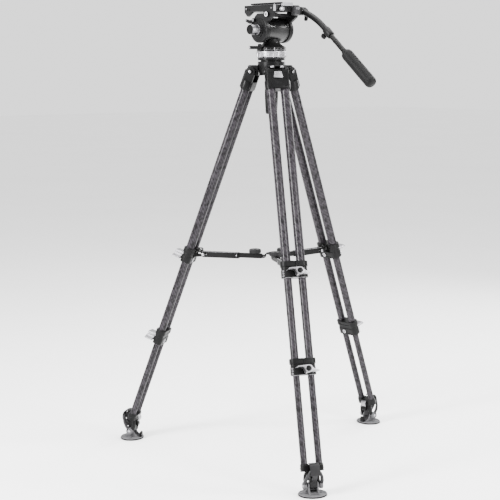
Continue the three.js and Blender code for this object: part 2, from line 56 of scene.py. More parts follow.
HALF_SPACING = 24.65                        # from a leg's middle to each tube's axis
UPPER_TUBE = (15.0, 13.5, 34.3, 694.7)      # outer radius, inner radius, from, to along the leg
MIDDLE_TUBE = (13.0, 11.5, 600.0, 1012.0)
LOWER_TUBE = (11.0, 9.5, 930.0, 1324.0)
UPPER_CLAMP = (20.5, 46.0, 655.0, 709.0)    # half depth, half width, from, to along the leg
LOWER_CLAMP = (18.5, 43.5, 974.0, 1028.0)
YOKE = (1313.7, 1342.0)
LEVER_Y = 6.0
LEVER_RISE = 16.0
HINGE_RADIUS = 64.7
HINGE_HEIGHT = 1330.0
PAD_HALF_WIDTH = 47.5
PAD_HALF_DEPTH = 42.0

TILT_HEIGHT = 1471.0
BALL_CENTRE = 1365.0
CHEEK_RADIUS = 44.2
LEFT_CHEEK = (-56.6, -45.3)
RIGHT_CHEEK = (46.3, 57.6)
PLATFORM_X = (-56.8, 57.8)
PLATFORM_Y = (-75.8, 76.8)
PLATFORM_Z = (1531.0, 1553.0)
LEVEL = (-48.0, 1521.0)

# ---- frames ----

SCALE = Matrix.Scale(MM, 4)
AXIS = Vector(JOINTS["pan"]["pos_m"][:2] + [0.0])    # the bowl's centre line on the floor
WORLD = Matrix.Translation(AXIS) @ SCALE


def basis(origin, x, y, z):
    """A frame that turns millimetres along x, y and z about origin (metres) into the row frame."""
    axes = Matrix((x, y, z)).transposed().to_4x4()
    return Matrix.Translation(origin) @ axes @ SCALE


def leg_frame(leg):
    """X outward, Y along the hinge pin, -Z down the leg, from the leg's hinge."""
    y = Vector(JOINTS[leg + "_fold"]["axis"])
    z = -Vector(JOINTS[leg + "_middle_extend"]["axis"])
    return basis(JOINTS[leg + "_fold"]["pos_m"], y.cross(z), y, z)


def station_frame(leg):
    """X outward, Y along the leg's hinge pin, Z up, from the floor on the upright axis."""
    y = Vector(JOINTS[leg + "_fold"]["axis"])
    z = Vector((0, 0, 1))
    return basis(AXIS, y.cross(z), y, z)


def ankle_point(leg):
    """The ankle pin in the leg's own frame, in millimetres."""
    return leg_frame(leg).inverted() @ Vector(JOINTS[leg + "_ankle"]["pos_m"])


# ---- mesh building ----


def empty_mesh():
    bm = bmesh.new()
    bm.loops.layers.uv.new("UVMap")
    return bm


def moved(bm, *matrices):
    for matrix in matrices:
        bm.transform(matrix)
    return bm


def shift(x=0.0, y=0.0, z=0.0):
    return Matrix.Translation((x, y, z))


def turn(degrees, axis):
    return Matrix.Rotation(math.radians(degrees), 4, axis)


def pointing(axis, at=(0, 0, 0)):
    """Turns +Z to axis and puts the origin at that point."""
    return Matrix.Translation(at) @ Vector(axis).to_track_quat("Z", "Y").to_matrix().to_4x4()


def turned(profile, steps=40, radius_at=None):
    """A solid of revolution about Z from (radius, height) points.

    The profile starts and ends on the axis, or closes on itself. radius_at scales the radius by angle.
    """
    bm = empty_mesh()
    uv = bm.loops.layers.uv.active
    reach = max(radius for radius, _ in profile)
    rings, runs, run = [], [], 0.0
    for i, (radius, height) in enumerate(profile):
        if i:
            run += math.dist(profile[i - 1], profile[i])
        runs.append(run)
        if radius < 1e-6:
            rings.append([bm.verts.new((0, 0, height))])
            continue
        circle = []
        for k in range(steps):
            angle = 2 * math.pi * k / steps
            r = radius * (radius_at(angle, radius, height) if radius_at else 1.0)
            circle.append(bm.verts.new((r * math.cos(angle), r * math.sin(angle), height)))
        rings.append(circle)
    closed = len(rings[0]) > 1 and len(rings[-1]) > 1
    count = len(rings)
    for i in range(count if closed else count - 1):
        a, b = rings[i], rings[(i + 1) % count]
        va, vb = runs[i], runs[i + 1] if i + 1 < count else run + math.dist(profile[-1], profile[0])
        for k in range(steps):
            n = (k + 1) % steps
            corners = [(a[k % len(a)], k, va), (a[n % len(a)], k + 1, va),
                       (b[n % len(b)], k + 1, vb), (b[k % len(b)], k, vb)]
            if len(a) == 1:
                corners.pop(1)
            elif len(b) == 1:
                corners.pop(2)
            if len({id(c[0]) for c in corners}) < 3:
                continue
            face = bm.faces.new([c[0] for c in corners])
            for loop, (_, at, v) in zip(face.loops, corners):
                loop[uv].uv = (2 * math.pi * reach * at / steps * MM, v * MM)
    return bm


def prism(outline, low, high):
    """An outline of (x, y) points, extruded along Z."""
    bm = empty_mesh()
    bottom = [bm.verts.new((x, y, low)) for x, y in outline]
    top = [bm.verts.new((x, y, high)) for x, y in outline]
    bm.faces.new(list(reversed(bottom)))
    bm.faces.new(top)
    for i in range(len(outline)):
        n = (i + 1) % len(outline)
        bm.faces.new((bottom[i], bottom[n], top[n], top[i]))
    return bm


SIDE = Matrix(((1, 0, 0, 0), (0, 0, 1, 0), (0, 1, 0, 0), (0, 0, 0, 1)))
CROSS = Matrix(((0, 0, 1, 0), (1, 0, 0, 0), (0, 1, 0, 0), (0, 0, 0, 1)))


def side_plate(outline, low, high):
    """An outline of (x, z) points, extruded along Y."""
    return moved(prism(outline, low, high), SIDE)


def cross_plate(outline, low, high):
    """An outline of (y, z) points, extruded along X."""
    return moved(prism(outline, low, high), CROSS)


def block(x, y, z):
    return prism([(x[0], y[0]), (x[1], y[0]), (x[1], y[1]), (x[0], y[1])], z[0], z[1])


def rod(axis, radius, ends, at, steps=24, edge=0.6):
    """A cylinder with chamfered ends along 'x', 'y' or 'z', about the two other coordinates."""
    edge = min(edge, radius / 3, (ends[1] - ends[0]) / 3)
    bm = turned([(0, ends[0]), (radius - edge, ends[0]), (radius, ends[0] + edge),
                 (radius, ends[1] - edge), (radius - edge, ends[1]), (0, ends[1])], steps)
    if axis == "x":
        return moved(bm, pointing((1, 0, 0)), shift(0, at[0], at[1]))
    if axis == "y":
        return moved(bm, pointing((0, 1, 0)), shift(at[0], 0, at[1]))
    return moved(bm, shift(at[0], at[1], 0))


def pipe(outer, inner, low, high, steps=48, edge=0.5):
    """A tube wall about Z with eased ends."""
    return turned([(outer, low + edge), (outer, high - edge), (outer - edge, high), (inner, high),
                   (inner, low), (outer - edge, low)], steps)


def sweep(points, radius, steps=16, scale=(1.0, 1.0)):
    """A closed round or oval bar along a list of points."""
    bm = empty_mesh()
    uv = bm.loops.layers.uv.active
    points = [Vector(p) for p in points]
    normal = None
    rings, runs, run = [], [], 0.0
    for i, point in enumerate(points):
        ahead = points[min(i + 1, len(points) - 1)] - points[max(i - 1, 0)]
        ahead.normalize()
        if normal is None:
            normal = ahead.orthogonal()
        normal = (normal - ahead * normal.dot(ahead)).normalized()
        side = ahead.cross(normal)
        size = radius[i] if isinstance(radius, (list, tuple)) else radius
        circle = []
        for k in range(steps):
            angle = 2 * math.pi * k / steps
            offset = normal * math.cos(angle) * scale[0] + side * math.sin(angle) * scale[1]
            circle.append(bm.verts.new(point + offset * size))
        if i:
            run += (point - points[i - 1]).length
        rings.append(circle)
        runs.append(run)
    for i in range(len(rings) - 1):
        for k in range(steps):
            n = (k + 1) % steps
            face = bm.faces.new((rings[i][k], rings[i][n], rings[i + 1][n], rings[i + 1][k]))
            size = radius[i] if isinstance(radius, (list, tuple)) else radius
            around = 2 * math.pi * size / steps
            for loop, (at, v) in zip(face.loops, ((k, runs[i]), (k + 1, runs[i]),
                                                  (k + 1, runs[i + 1]), (k, runs[i + 1]))):
                loop[uv].uv = (around * at * MM, v * MM)
    bm.faces.new(list(reversed(rings[0])))
    bm.faces.new(rings[-1])
    return bm


def eased(bm, width, segments=2):
    """Rounds the edges that are sharper than BEVEL_ANGLE."""
    bmesh.ops.recalc_face_normals(bm, faces=bm.faces)
    edges = [e for e in bm.edges if len(e.link_faces) == 2 and e.calc_face_angle(0.0) > BEVEL_ANGLE]
    if edges:
        bmesh.ops.bevel(bm, geom=edges, offset=width, offset_type="OFFSET", segments=segments,
                        profile=0.6, affect="EDGES", clamp_overlap=True)
    return bm


def arc(centre, radius, start, end, steps):
    """Points on an arc, in degrees counterclockwise, both ends included."""
    points = []
    for i in range(steps + 1):
        angle = math.radians(start + (end - start) * i / steps)
        points.append((centre[0] + radius * math.cos(angle), centre[1] + radius * math.sin(angle)))
    return points


def rounded(half_x, half_y, radius, steps=6):
    """A rounded rectangle about the origin."""
    x, y = half_x - radius, half_y - radius
    return (arc((x, y), radius, 0, 90, steps) + arc((-x, y), radius, 90, 180, steps)
            + arc((-x, -y), radius, 180, 270, steps) + arc((x, -y), radius, 270, 360, steps))


def joined(shells):
    """One bmesh out of several closed shells."""
    whole = empty_mesh()
    for shell in shells:
        mesh = bpy.data.meshes.new("shell")
        bmesh.ops.recalc_face_normals(shell, faces=shell.faces)
        shell.to_mesh(mesh)
        shell.free()
        whole.from_mesh(mesh)
        bpy.data.meshes.remove(mesh)
    return whole


def cut(body, cutters):
    """Takes closed shells away from a closed shell."""
    def temporary(bm, name):
        mesh = bpy.data.meshes.new(name)
        bmesh.ops.recalc_face_normals(bm, faces=bm.faces)
        bm.to_mesh(mesh)
        bm.free()
        thing = bpy.data.objects.new(name, mesh)
        bpy.context.scene.collection.objects.link(thing)
        return thing

    main = temporary(body, "cut_body")
    tools = [temporary(cutter, "cut_tool") for cutter in cutters]
    for tool in tools:
        modifier = main.modifiers.new("cut", "BOOLEAN")
        modifier.operation = "DIFFERENCE"
        modifier.solver = "EXACT"
        modifier.object = tool
    bpy.context.view_layer.update()
    graph = bpy.context.evaluated_depsgraph_get()
    mesh = bpy.data.meshes.new_from_object(main.evaluated_get(graph))
    result = bmesh.new()
    result.from_mesh(mesh)
    if not result.loops.layers.uv:
        result.loops.layers.uv.new("UVMap")
    for thing in [main] + tools:
        old = thing.data
        bpy.data.objects.remove(thing)
        bpy.data.meshes.remove(old)
    bpy.data.meshes.remove(mesh)
    bmesh.ops.remove_doubles(result, verts=result.verts, dist=1e-4)
    return result


def piece(name, body, look, place, shells, replaces=(), sharp=34.0):
    """Makes one object from closed shells drawn in the frame place, riding on a CAD body."""
    material, slot = look
    whole = joined(shells)
    limit = math.radians(sharp)
    for edge in whole.edges:
        edge.smooth = len(edge.link_faces) != 2 or edge.calc_face_angle(0.0) < limit
    for face in whole.faces:
        face.smooth = True
    whole.transform(place)
    if place.to_3x3().determinant() < 0:
        bmesh.ops.reverse_faces(whole, faces=whole.faces)
    mesh = bpy.data.meshes.new(name)
    whole.to_mesh(mesh)
    whole.free()
    thing = bpy.data.objects.new(name, mesh)
    bpy.context.scene.collection.objects.link(thing)
    mesh.materials.append(material)
    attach(thing, body)
    if replaces:
        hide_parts(*replaces)
    return thing


def on(body, place=WORLD, prefix=""):
    """A short form of piece for one body, one frame and one start of the names."""
    def add(name, look, shells, replaces=(), sharp=34.0):
        piece(prefix + name, body, look, place, shells, [prefix + node for node in replaces], sharp)
    return add


# ---- materials ----


class Nodes:
    """Short calls for building one node material round a Principled shader."""

    def __init__(self, name):
        self.material = bpy.data.materials.new(name)
        self.material.use_nodes = True
        self.tree = self.material.node_tree
        self.shader = self.tree.nodes["Principled BSDF"]
        self.coords = self.tree.nodes.new("ShaderNodeTexCoord")

    def feed(self, node, inputs):
        """Links each named input to a socket, or sets it to a fixed value."""
        for key, value in inputs.items():
            if isinstance(value, bpy.types.NodeSocket):
                self.tree.links.new(value, node.inputs[key])
            else:
                node.inputs[key].default_value = value

    def add(self, kind, inputs, **settings):
        node = self.tree.nodes.new(kind)
        for key, value in settings.items():
            setattr(node, key, value)
        self.feed(node, inputs)
        return node

    def math(self, operation, a, b=0.0, c=0.0):
        return self.add("ShaderNodeMath", {0: a, 1: b, 2: c}, operation=operation).outputs[0]

    def times(self, a, b):
        return self.math("MULTIPLY", a, b)

    def noise(self, scale, detail=3.0, stretch=None, coords="Object", roughness=0.55):
        vector = self.coords.outputs[coords]
        if stretch:
            vector = self.add("ShaderNodeMapping", {"Vector": vector, "Scale": stretch}).outputs[0]
        return self.add("ShaderNodeTexNoise", {
            "Vector": vector, "Scale": scale, "Detail": detail, "Roughness": roughness,
        }).outputs["Fac"]

    def ramp(self, value, low, high, a=0.0, b=1.0):
        """Maps value from low..high to a..b, clamped."""
        return self.add("ShaderNodeMapRange", {
            "Value": value, "From Min": low, "From Max": high, "To Min": a, "To Max": b,
        }).outputs[0]

    def mix(self, factor, a, b):
        return self.add("ShaderNodeMix", {0: factor, 6: a, 7: b}, data_type="RGBA").outputs[2]

    def bump(self, height, distance, strength):
        return self.add("ShaderNodeBump", {
            "Height": height, "Distance": distance, "Strength": strength,
        }).outputs[0]

    def finish(self, color, roughness, normal=None, **fixed):
        self.feed(self.shader, {"Base Color": color, "Roughness": roughness})
        if normal:
            self.feed(self.shader, {"Normal": normal})
        self.feed(self.shader, {key.replace("_", " "): value for key, value in fixed.items()})
        return self.material


def grey(value, tint=(1.0, 1.0, 1.0)):
    return (value * tint[0], value * tint[1], value * tint[2], 1.0)


COOL = (1.0, 0.985, 1.03)
WARP = (1.08, 0.94, 1.12)


def painted(name, value, roughness, grain=900.0, metallic=0.0, worn=0.35, shine=0.07):
    """Satin paint on a casting: fine orange peel, uneven sheen, and paler edges."""
    n = Nodes(name)
    cloud = n.noise(14.0, 4.0)
    fine = n.noise(grain, 2.0)
    edge = n.ramp(n.add("ShaderNodeNewGeometry", {}).outputs["Pointiness"], 0.53, 0.60, 0.0, worn)
    chips = n.times(edge, n.ramp(n.noise(260.0, 4.0), 0.42, 0.62, 0.15, 1.0))
    base = n.mix(n.ramp(cloud, 0.35, 0.7), grey(value, COOL), grey(value * 1.35, COOL))
    color = n.mix(chips, base, grey(min(0.5, value * 5 + 0.08), COOL))
    gloss = n.math("ADD", n.ramp(cloud, 0.3, 0.7, roughness - 0.07, roughness + 0.08),
                   n.ramp(fine, 0.3, 0.7, -0.04, 0.04))
    return n.finish(color, gloss, n.bump(fine, 0.00012, 0.35), Metallic=metallic,
                    Specular_IOR_Level=shine)


def carbon_weave(name):
    """Twill-woven carbon fibre under a clear coat, in metres round and along the tube, with painted sheen
    on the warp tows and painted shade along the tows' edges.
    """
    tow = 0.0034
    n = Nodes(name)
    split = n.add("ShaderNodeSeparateXYZ", {"Vector": n.coords.outputs["UV"]})
    wobble = n.times(n.math("SUBTRACT", n.noise(45.0, 2.0), 0.5), 0.0016)
    u = n.math("DIVIDE", n.math("ADD", split.outputs["X"], wobble), tow)
    v = n.math("DIVIDE", n.math("ADD", split.outputs["Y"], wobble), tow)
    across, along = n.math("FLOOR", u), n.math("FLOOR", v)
    step = n.math("FLOORED_MODULO", n.math("ADD", across, along), 4.0)
    warp = n.math("LESS_THAN", step, 1.5)
    round_u = n.math("SINE", n.times(n.math("FRACT", u), math.pi))
    round_v = n.math("SINE", n.times(n.math("FRACT", v), math.pi))
    weft = n.math("SUBTRACT", 1.0, warp)
    relief = n.math("ADD", n.times(warp, round_u), n.times(weft, round_v))
    thread_u = n.noise(1.0, 2.0, stretch=(2600.0, 180.0, 1.0), coords="UV")
    thread_v = n.noise(1.0, 2.0, stretch=(180.0, 2600.0, 1.0), coords="UV")
    thread = n.math("ADD", n.times(warp, thread_u), n.times(weft, thread_v))
    mottle = n.noise(1.0, 3.0, stretch=(75.0, 62.0, 1.0), coords="UV", roughness=0.6)
    tone = n.times(n.ramp(mottle, 0.38, 0.62, 0.1, 1.45), n.ramp(thread, 0.3, 0.7, 0.65, 1.3))
    # Painted sheen: warp tows are made lighter and weft tows darker, standing in for how each catches the
    # light.
    tone = n.times(tone, n.ramp(warp, 0.0, 1.0, 0.62, 1.3))
    # Painted shade: each tow is darker towards its edges, where it dips under its neighbours, and lighter
    # along its crown.
    tone = n.times(tone, n.ramp(relief, 0.0, 1.0, 0.45, 1.0))
    color = n.mix(tone, grey(0.001, WARP), grey(0.026, WARP))
    rough = n.ramp(tone, 0.2, 1.6, 0.52, 0.34)
    return n.finish(color, rough, n.bump(relief, 0.0002, 0.3),
                    Specular_IOR_Level=0.05, Coat_Weight=0.2, Coat_Roughness=0.1, Coat_IOR=1.5)


def machined(name, value, roughness, rings=1400.0):
    """Turned or milled aluminium: fine tool lines round the piece and faint smears."""
    n = Nodes(name)
    lines = n.noise(1.0, 3.0, stretch=(25.0, rings, rings), coords="UV")
    smear = n.noise(32.0, 3.0)
    color = n.mix(n.ramp(smear, 0.3, 0.7), grey(value * 0.86, COOL), grey(value, COOL))
    gloss = n.math("ADD", n.ramp(lines, 0.3, 0.7, roughness - 0.06, roughness + 0.08),
                   n.ramp(smear, 0.3, 0.7, -0.04, 0.06))
    return n.finish(color, gloss, n.bump(lines, 0.00005, 0.4), Metallic=1.0)


def moulded(name, value, roughness, tint=COOL, grain=1500.0, depth=0.00016, shine=0.08):
    """Moulded plastic or rubber with a fine spark-eroded grain."""
    n = Nodes(name)
    fine = n.noise(grain, 3.0)
    cloud = n.noise(22.0, 4.0)
    base = n.mix(n.ramp(cloud, 0.32, 0.7), grey(value * 0.85, tint), grey(value * 1.18, tint))
    color = n.mix(n.ramp(fine, 0.55, 0.75, 0.0, 0.35), base, grey(value * 1.6, tint))
    gloss = n.ramp(cloud, 0.3, 0.7, roughness - 0.06, roughness + 0.06)
    return n.finish(color, gloss, n.bump(fine, depth, 0.5), Specular_IOR_Level=shine)


# Each look is a material with the slot of the record that it belongs to.
CARBON = carbon_weave("carbon_weave"), "carbon_fibre"
BLACK = painted("black_casting", 0.0028, 0.34, worn=0.02, shine=0.1), "black_casting"
BLACK_SOFT = painted("black_casting_rough", 0.003, 0.5, worn=0.02), "black_casting"
GRAPHITE = (painted("graphite_casting", 0.0055, 0.34, metallic=0.1, worn=0.04, shine=0.12),
            "graphite_casting")
MID_GREY = painted("mid_grey_casting", 0.02, 0.4, metallic=0.2, worn=0.08), "grey_plastic"
WHITE_PLASTIC = moulded("white_plastic", 0.45, 0.4), "level_vial"
DRUM = painted("drum_satin", 0.0015, 0.3, worn=0.01, shine=0.42), "graphite_casting"
PALE_GREY = painted("pale_grey_casting", 0.16, 0.4, metallic=0.2), "silver_metal"
SILVER = machined("machined_silver", 0.3, 0.34), "silver_metal"
BRUSHED = machined("brushed_grey", 0.15, 0.34), "silver_metal"
STEEL = machined("polished_steel", 0.34, 0.24), "steel_fasteners"
GREY_PLASTIC = moulded("grey_plastic", 0.011, 0.46), "grey_plastic"
PAD_GREY = moulded("pad_grey", 0.075, 0.5), "grey_plastic"
BLACK_PLASTIC = moulded("black_plastic", 0.003, 0.36), "black_plastic"
BLACK_GLOSS = (moulded("black_gloss_tube", 0.0018, 0.26, grain=600.0, depth=0.00002, shine=0.12),
               "carbon_fibre")
RUBBER = moulded("grip_rubber", 0.0042, 0.5, grain=2200.0, depth=0.00003), "grip_rubber"
SOLE = moulded("sole_rubber", 0.006, 0.7, grain=1800.0, depth=0.0003), "grip_rubber"
DARK = moulded("dark_recess", 0.006, 0.8), "black_plastic"

# ---- shared shapes ----


def hexed(angle):
    """Scales a circle to the hexagon inside it."""
    return math.cos(math.pi / 6) / math.cos(angle % (math.pi / 3) - math.pi / 6)


def screw(radius, height, steps=24):
    """A socket-head screw on Z = 0, with a hexagonal socket."""
    socket = radius * 0.52

    def inner(angle, r, z):
        return hexed(angle) if r <= socket + 0.01 else 1.0

    return turned([(0, height * 0.35), (socket, height * 0.35), (socket, height),
                   (radius * 0.88, height), (radius, height * 0.85), (radius, 0), (0, 0)], steps, inner)


def nut(radius, height):
    """A hexagon nut on Z = 0 with chamfered corners and a rounded stud end."""
    def outer(angle, r, z):
        return hexed(angle) if r > radius * 0.95 else 1.0

    return turned([(0, height * 1.25), (radius * 0.3, height * 1.25), (radius * 0.42, height),
                   (radius * 0.8, height), (radius, height * 0.82), (radius, 0), (0, 0)], 24, outer)


def smoothed(points, steps=6):
    """A Catmull-Rom curve through 2-D points."""
    ends = [points[0]] + list(points) + [points[-1]]
    curve = []
    for i in range(1, len(ends) - 2):
        a, b, c, d = ends[i - 1:i + 3]
        for k in range(steps):
            t = k / steps
            curve.append(tuple(
                0.5 * (2 * b[j] + (c[j] - a[j]) * t + (2 * a[j] - 5 * b[j] + 4 * c[j] - d[j]) * t * t
                       + (3 * b[j] - a[j] - 3 * c[j] + d[j]) * t ** 3) for j in (0, 1)))
    curve.append(tuple(points[-1]))
    return curve


def ribbon(centre, thickness):
    """The outline of a strip of even or listed thickness round a centre line, with round ends."""
    count = len(centre)
    left, right = [], []
    for i, (x, y) in enumerate(centre):
        ahead = Vector(centre[min(i + 1, count - 1)]) - Vector(centre[max(i - 1, 0)])
        normal = Vector((-ahead.y, ahead.x)).normalized()
        half = thickness / 2 if not callable(thickness) else thickness(i / (count - 1)) / 2
        left.append((x + normal.x * half, y + normal.y * half))
        right.append((x - normal.x * half, y - normal.y * half))
    ends = []
    for (x, y), near, sign in ((centre[-1], left[-1], -1), (centre[0], right[0], -1)):
        start = math.degrees(math.atan2(near[1] - y, near[0] - x))
        radius = math.dist((x, y), near)
        ends.append(arc((x, y), radius, start, start + sign * 180, 6)[1:-1])
    return left + ends[0] + list(reversed(right)) + ends[1]


def knurled(count, depth, above=0.0, below=1e9):
    """A radius function: count ridges round the parts of a profile between two heights."""
    def at(angle, radius, height):
        if not above <= height <= below:
            return 1.0
        return 1.0 - depth * (0.5 - 0.5 * math.cos(count * angle))
    return at


def ring(outer, inner, low, high, steps=40):
    return turned([(outer, low), (outer, high), (inner, high), (inner, low)], steps)


def both(make):
    """What make gives for the side at -1 and the side at 1."""
    return [make(-1), make(1)]


def span(side, near, far):
    """The stretch from near to far on that side of zero, in rising order."""
    return sorted((side * near, side * far))


def eased_block(x, y, z, width, segments=2):
    return eased(block(x, y, z), width, segments)


def spun(profile, steps, axis, at):
    """A solid of revolution from the point at along axis."""
    return moved(turned(profile, steps), pointing(axis, at))


def spun_sides(profile, steps, at):
    """A solid of revolution that faces outward along Y, on both sides."""
    x, y, z = at
    return both(lambda side: spun(profile, steps, (0, side, 0), (x, side * y, z)))


def screw_at(radius, height, axis, at):
    """A socket-head screw that stands on the point at and faces along axis."""
    return moved(screw(radius, height), pointing(axis, at))


def slotted(look, slot):
    """The same material in another of the record's slots."""
    return look[0], slot


# ---- legs ----


def tube_pair(sizes):
    """The two tubes of one stage."""
    outer, inner, top, bottom = sizes
    return both(lambda side: moved(pipe(outer, inner, -bottom, -top), shift(0, side * HALF_SPACING)))


def bore_pair(radius, low, high, steps=48, edge=0.01):
    """Cutters for the two tubes' bores."""
    return both(lambda side: rod("z", radius, (low, high), (0, side * HALF_SPACING), steps, edge))


def leg_head(leg, place):
    """The casting that holds the tube tops and hangs from the crown's lug."""
    make = on(leg, place, leg + "_")
    sleeve = prism(rounded(19, 43.5, 17, 10), -62, -33)
    lip = prism(rounded(17.6, 42, 15.6, 10), -64.5, -61.5)
    web = block((14.2, 20), (-37, 37), (-60, 2.5))
    cheek = [(-17, -60), (17, -60), (17, 0)] + arc((0, 0), 17, 0, 180, 20)[1:]
    pocket = [(x * 0.78, z * 0.78 - 8) for x, z in ((-14, -26), (0, -44), (14, -26))]
    groove = [(13.2, -2), (13.2, 2), (12.0, 2), (12.0, -2)]
    cheeks = both(lambda side: cut(eased(side_plate(cheek, *span(side, 27, 38)), 1.6, 3), [
        side_plate(pocket, *span(side, 36.2, 40)), spun(groove, 40, (0, side, 0), (0, side * 38, 0))]))
    sleeve = cut(eased(sleeve, 1.4), bore_pair(15.25, -70, -30, edge=0.6))
    lip = cut(eased(lip, 0.7), bore_pair(15.25, -70, -30, edge=0.6))
    window = [(-17.6, -30), (17.6, -30), (14.5, 1), (-14.5, 1)]
    web = cut(eased(web, 1.2), [
        cross_plate(window, 17.4, 30), block((18.9, 30), (-30, -22), (-50, -8)),
        block((18.9, 30), (22, 30), (-50, -8)), block((18.4, 30), (-15, 15), (-52, -31))])
    make("head_casting", BLACK, [sleeve, lip, web] + cheeks, ["head"])
    ribs = [eased_block((18.2, 19.6), (y - 0.9, y + 0.9), (-51, -32), 0.3, 1)
            for y in (-10, -5, 0, 5, 10)]
    make("head_ribs", BLACK_SOFT, ribs)
    bolts = both(lambda side: screw_at(3.4, 3.0, (1, 0, 0), (18.8, side * 26, -54)))
    bolts += both(lambda side: screw_at(2.6, 2.4, (0, side, 0), (8, side * 37.8, -52)))
    make("head_screws", BLACK_PLASTIC, bolts)
    washer = [(12.6, 0), (12.6, 0.9), (11.9, 1.3), (10.9, 1.3), (10.4, 0.6), (9.0, 0.6), (9.0, 0)]
    make("hinge_washers", GRAPHITE, spun_sides(washer, 40, (0, 37.6, 0)))
    cap = [(0, 3.2), (7.4, 3.2), (8.6, 2.6), (9.4, 1.2), (9.4, 0), (0, 0)]
    caps = spun_sides(cap, 40, (0, 38.3, 0))
    make("hinge_caps", BLACK_PLASTIC, caps + [rod("y", 6.0, (-38, 38), (0, 0))], ["hinge_bolt"])
    buttons = both(lambda side: screw_at(4.4, 1.4, (0, side, 0), (0, side * 41.2, 0)))
    make("hinge_buttons", STEEL, buttons)


def angle_catch(leg, place):
    """The tapered tab that frees the leg, with a thumb lip and two rivets."""
    make = on(leg + "_catch", place, leg + "_")
    outline = [(-16.5, -27.5), (16.5, -27.5), (12.3, -5.4), (-12.3, -5.4)]
    plate = eased(cross_plate(outline, 17.8, 20.6), 0.6)
    outline = [(-16.5, -27.5), (16.5, -27.5), (15.5, -22.5), (-15.5, -22.5)]
    lip = eased(cross_plate(outline, 20, 22.5), 0.8)
    make("catch_tab", SILVER, [plate, lip], ["angle_catch"])
    rivet = [(0, 1.0), (1.5, 0.8), (2.2, 0), (0, 0)]
    rivets = both(lambda side: spun(rivet, 20, (1, 0, 0), (20.5, side * 8, -11)))
    make("catch_rivets", STEEL, rivets)


def clamp_casting(leg, name, sizes, bore_radii, body, place, replaces):
    """A clamp round two tubes: a tall collar, a narrower skirt, a split, and its hardware."""
    half_x, half_y, start, end = sizes
    top, bottom = -start, -end
    middle = (top + bottom) / 2
    big, small = bore_radii
    collar = eased(prism(rounded(half_x, half_y, half_x - 2, 10), middle + 9, top), 1.8, 3)
    collar = cut(collar, bore_pair(big, middle, top + 5) + [
        block((half_x - 1.2, 60), (-half_y + 24, half_y - 34), (middle + 14, top - 4)),
        block((half_x - 5, 60), (-1.0, 1.0), (middle, top + 5)),
        block((-60, -half_x + 1.4), (-half_y + 20, half_y - 20), (middle + 13, top - 4))])
    waist = prism(rounded(half_x - 3.2, half_y - 2.6, half_x - 5.4, 10), middle - 3, middle + 10)
    waist = cut(eased(waist, 0.8), bore_pair(big, middle - 8, middle + 20))
    skirt = eased(prism(rounded(half_x - 1.4, half_y - 1.4, half_x - 3.6, 10), bottom, middle - 2), 1.6, 3)
    skirt = cut(skirt, bore_pair(small, bottom - 5, middle + 5) + [
        block((half_x - 2.6, 60), (-half_y + 26, -half_y + 44), (bottom + 4, middle - 7)),
        block((-60, -half_x + 2.8), (-half_y + 22, half_y - 22), (bottom + 4, middle - 7))])
    piece(f"{leg}_{name}_casting", body, BLACK, place, [collar, waist, skirt], replaces)

    trims = both(lambda side: moved(ring(small + 2.0, small + 0.05, bottom - 1.2, bottom + 1.5, 48),
                                    shift(0, side * HALF_SPACING)))
    bridge = eased_block((6, half_x - 3.0), (-9.5, 9.5), (bottom - 1.6, bottom + 1.0), 0.5)
    make = on(body, place, f"{leg}_{name}_")
    make("bushes", PALE_GREY, trims + [bridge])

    nuts = [moved(nut(3.5, 3.8), pointing((1, -0.25, 0), (half_x - 8.4, 5.5 - half_y, bottom + rise)))
            for rise in (5.0, 13.0, 21.0)]
    nuts += [screw_at(3.8, 3.4, (1, 0, 0), (half_x - 3.4, half_y - 20, bottom + 22.5)),
             screw_at(7.2, 3.4, (-1, 0, 0), (-half_x + 3.2, half_y - 34, bottom + 13))]
    make("bolts", STEEL, nuts)
    ball = [(0, 4.0)] + [(3.9 * math.cos(a), 3.9 * math.sin(a)) for a in (1.2, 0.8, 0.4, 0.0)]
    ball += [(3.0, -2), (0, -2)]
    plugs = [spun(ball, 24, (1, 0.3, 0), (half_x - x, half_y - y, bottom + z))
             for x, y, z in ((4.4, 12.6, 20.5), (7.2, 9.0, 5.0))]
    plugs += [spun([(0, 2.2), (2.4, 2.2), (2.4, 1.0), (4.4, 1.0), (4.4, 0), (0, 0)], 24,
                   (1, 0, 0), (half_x - 2.9, -half_y + 35, bottom + 13))]
    make("caps", BLACK_PLASTIC, plugs)


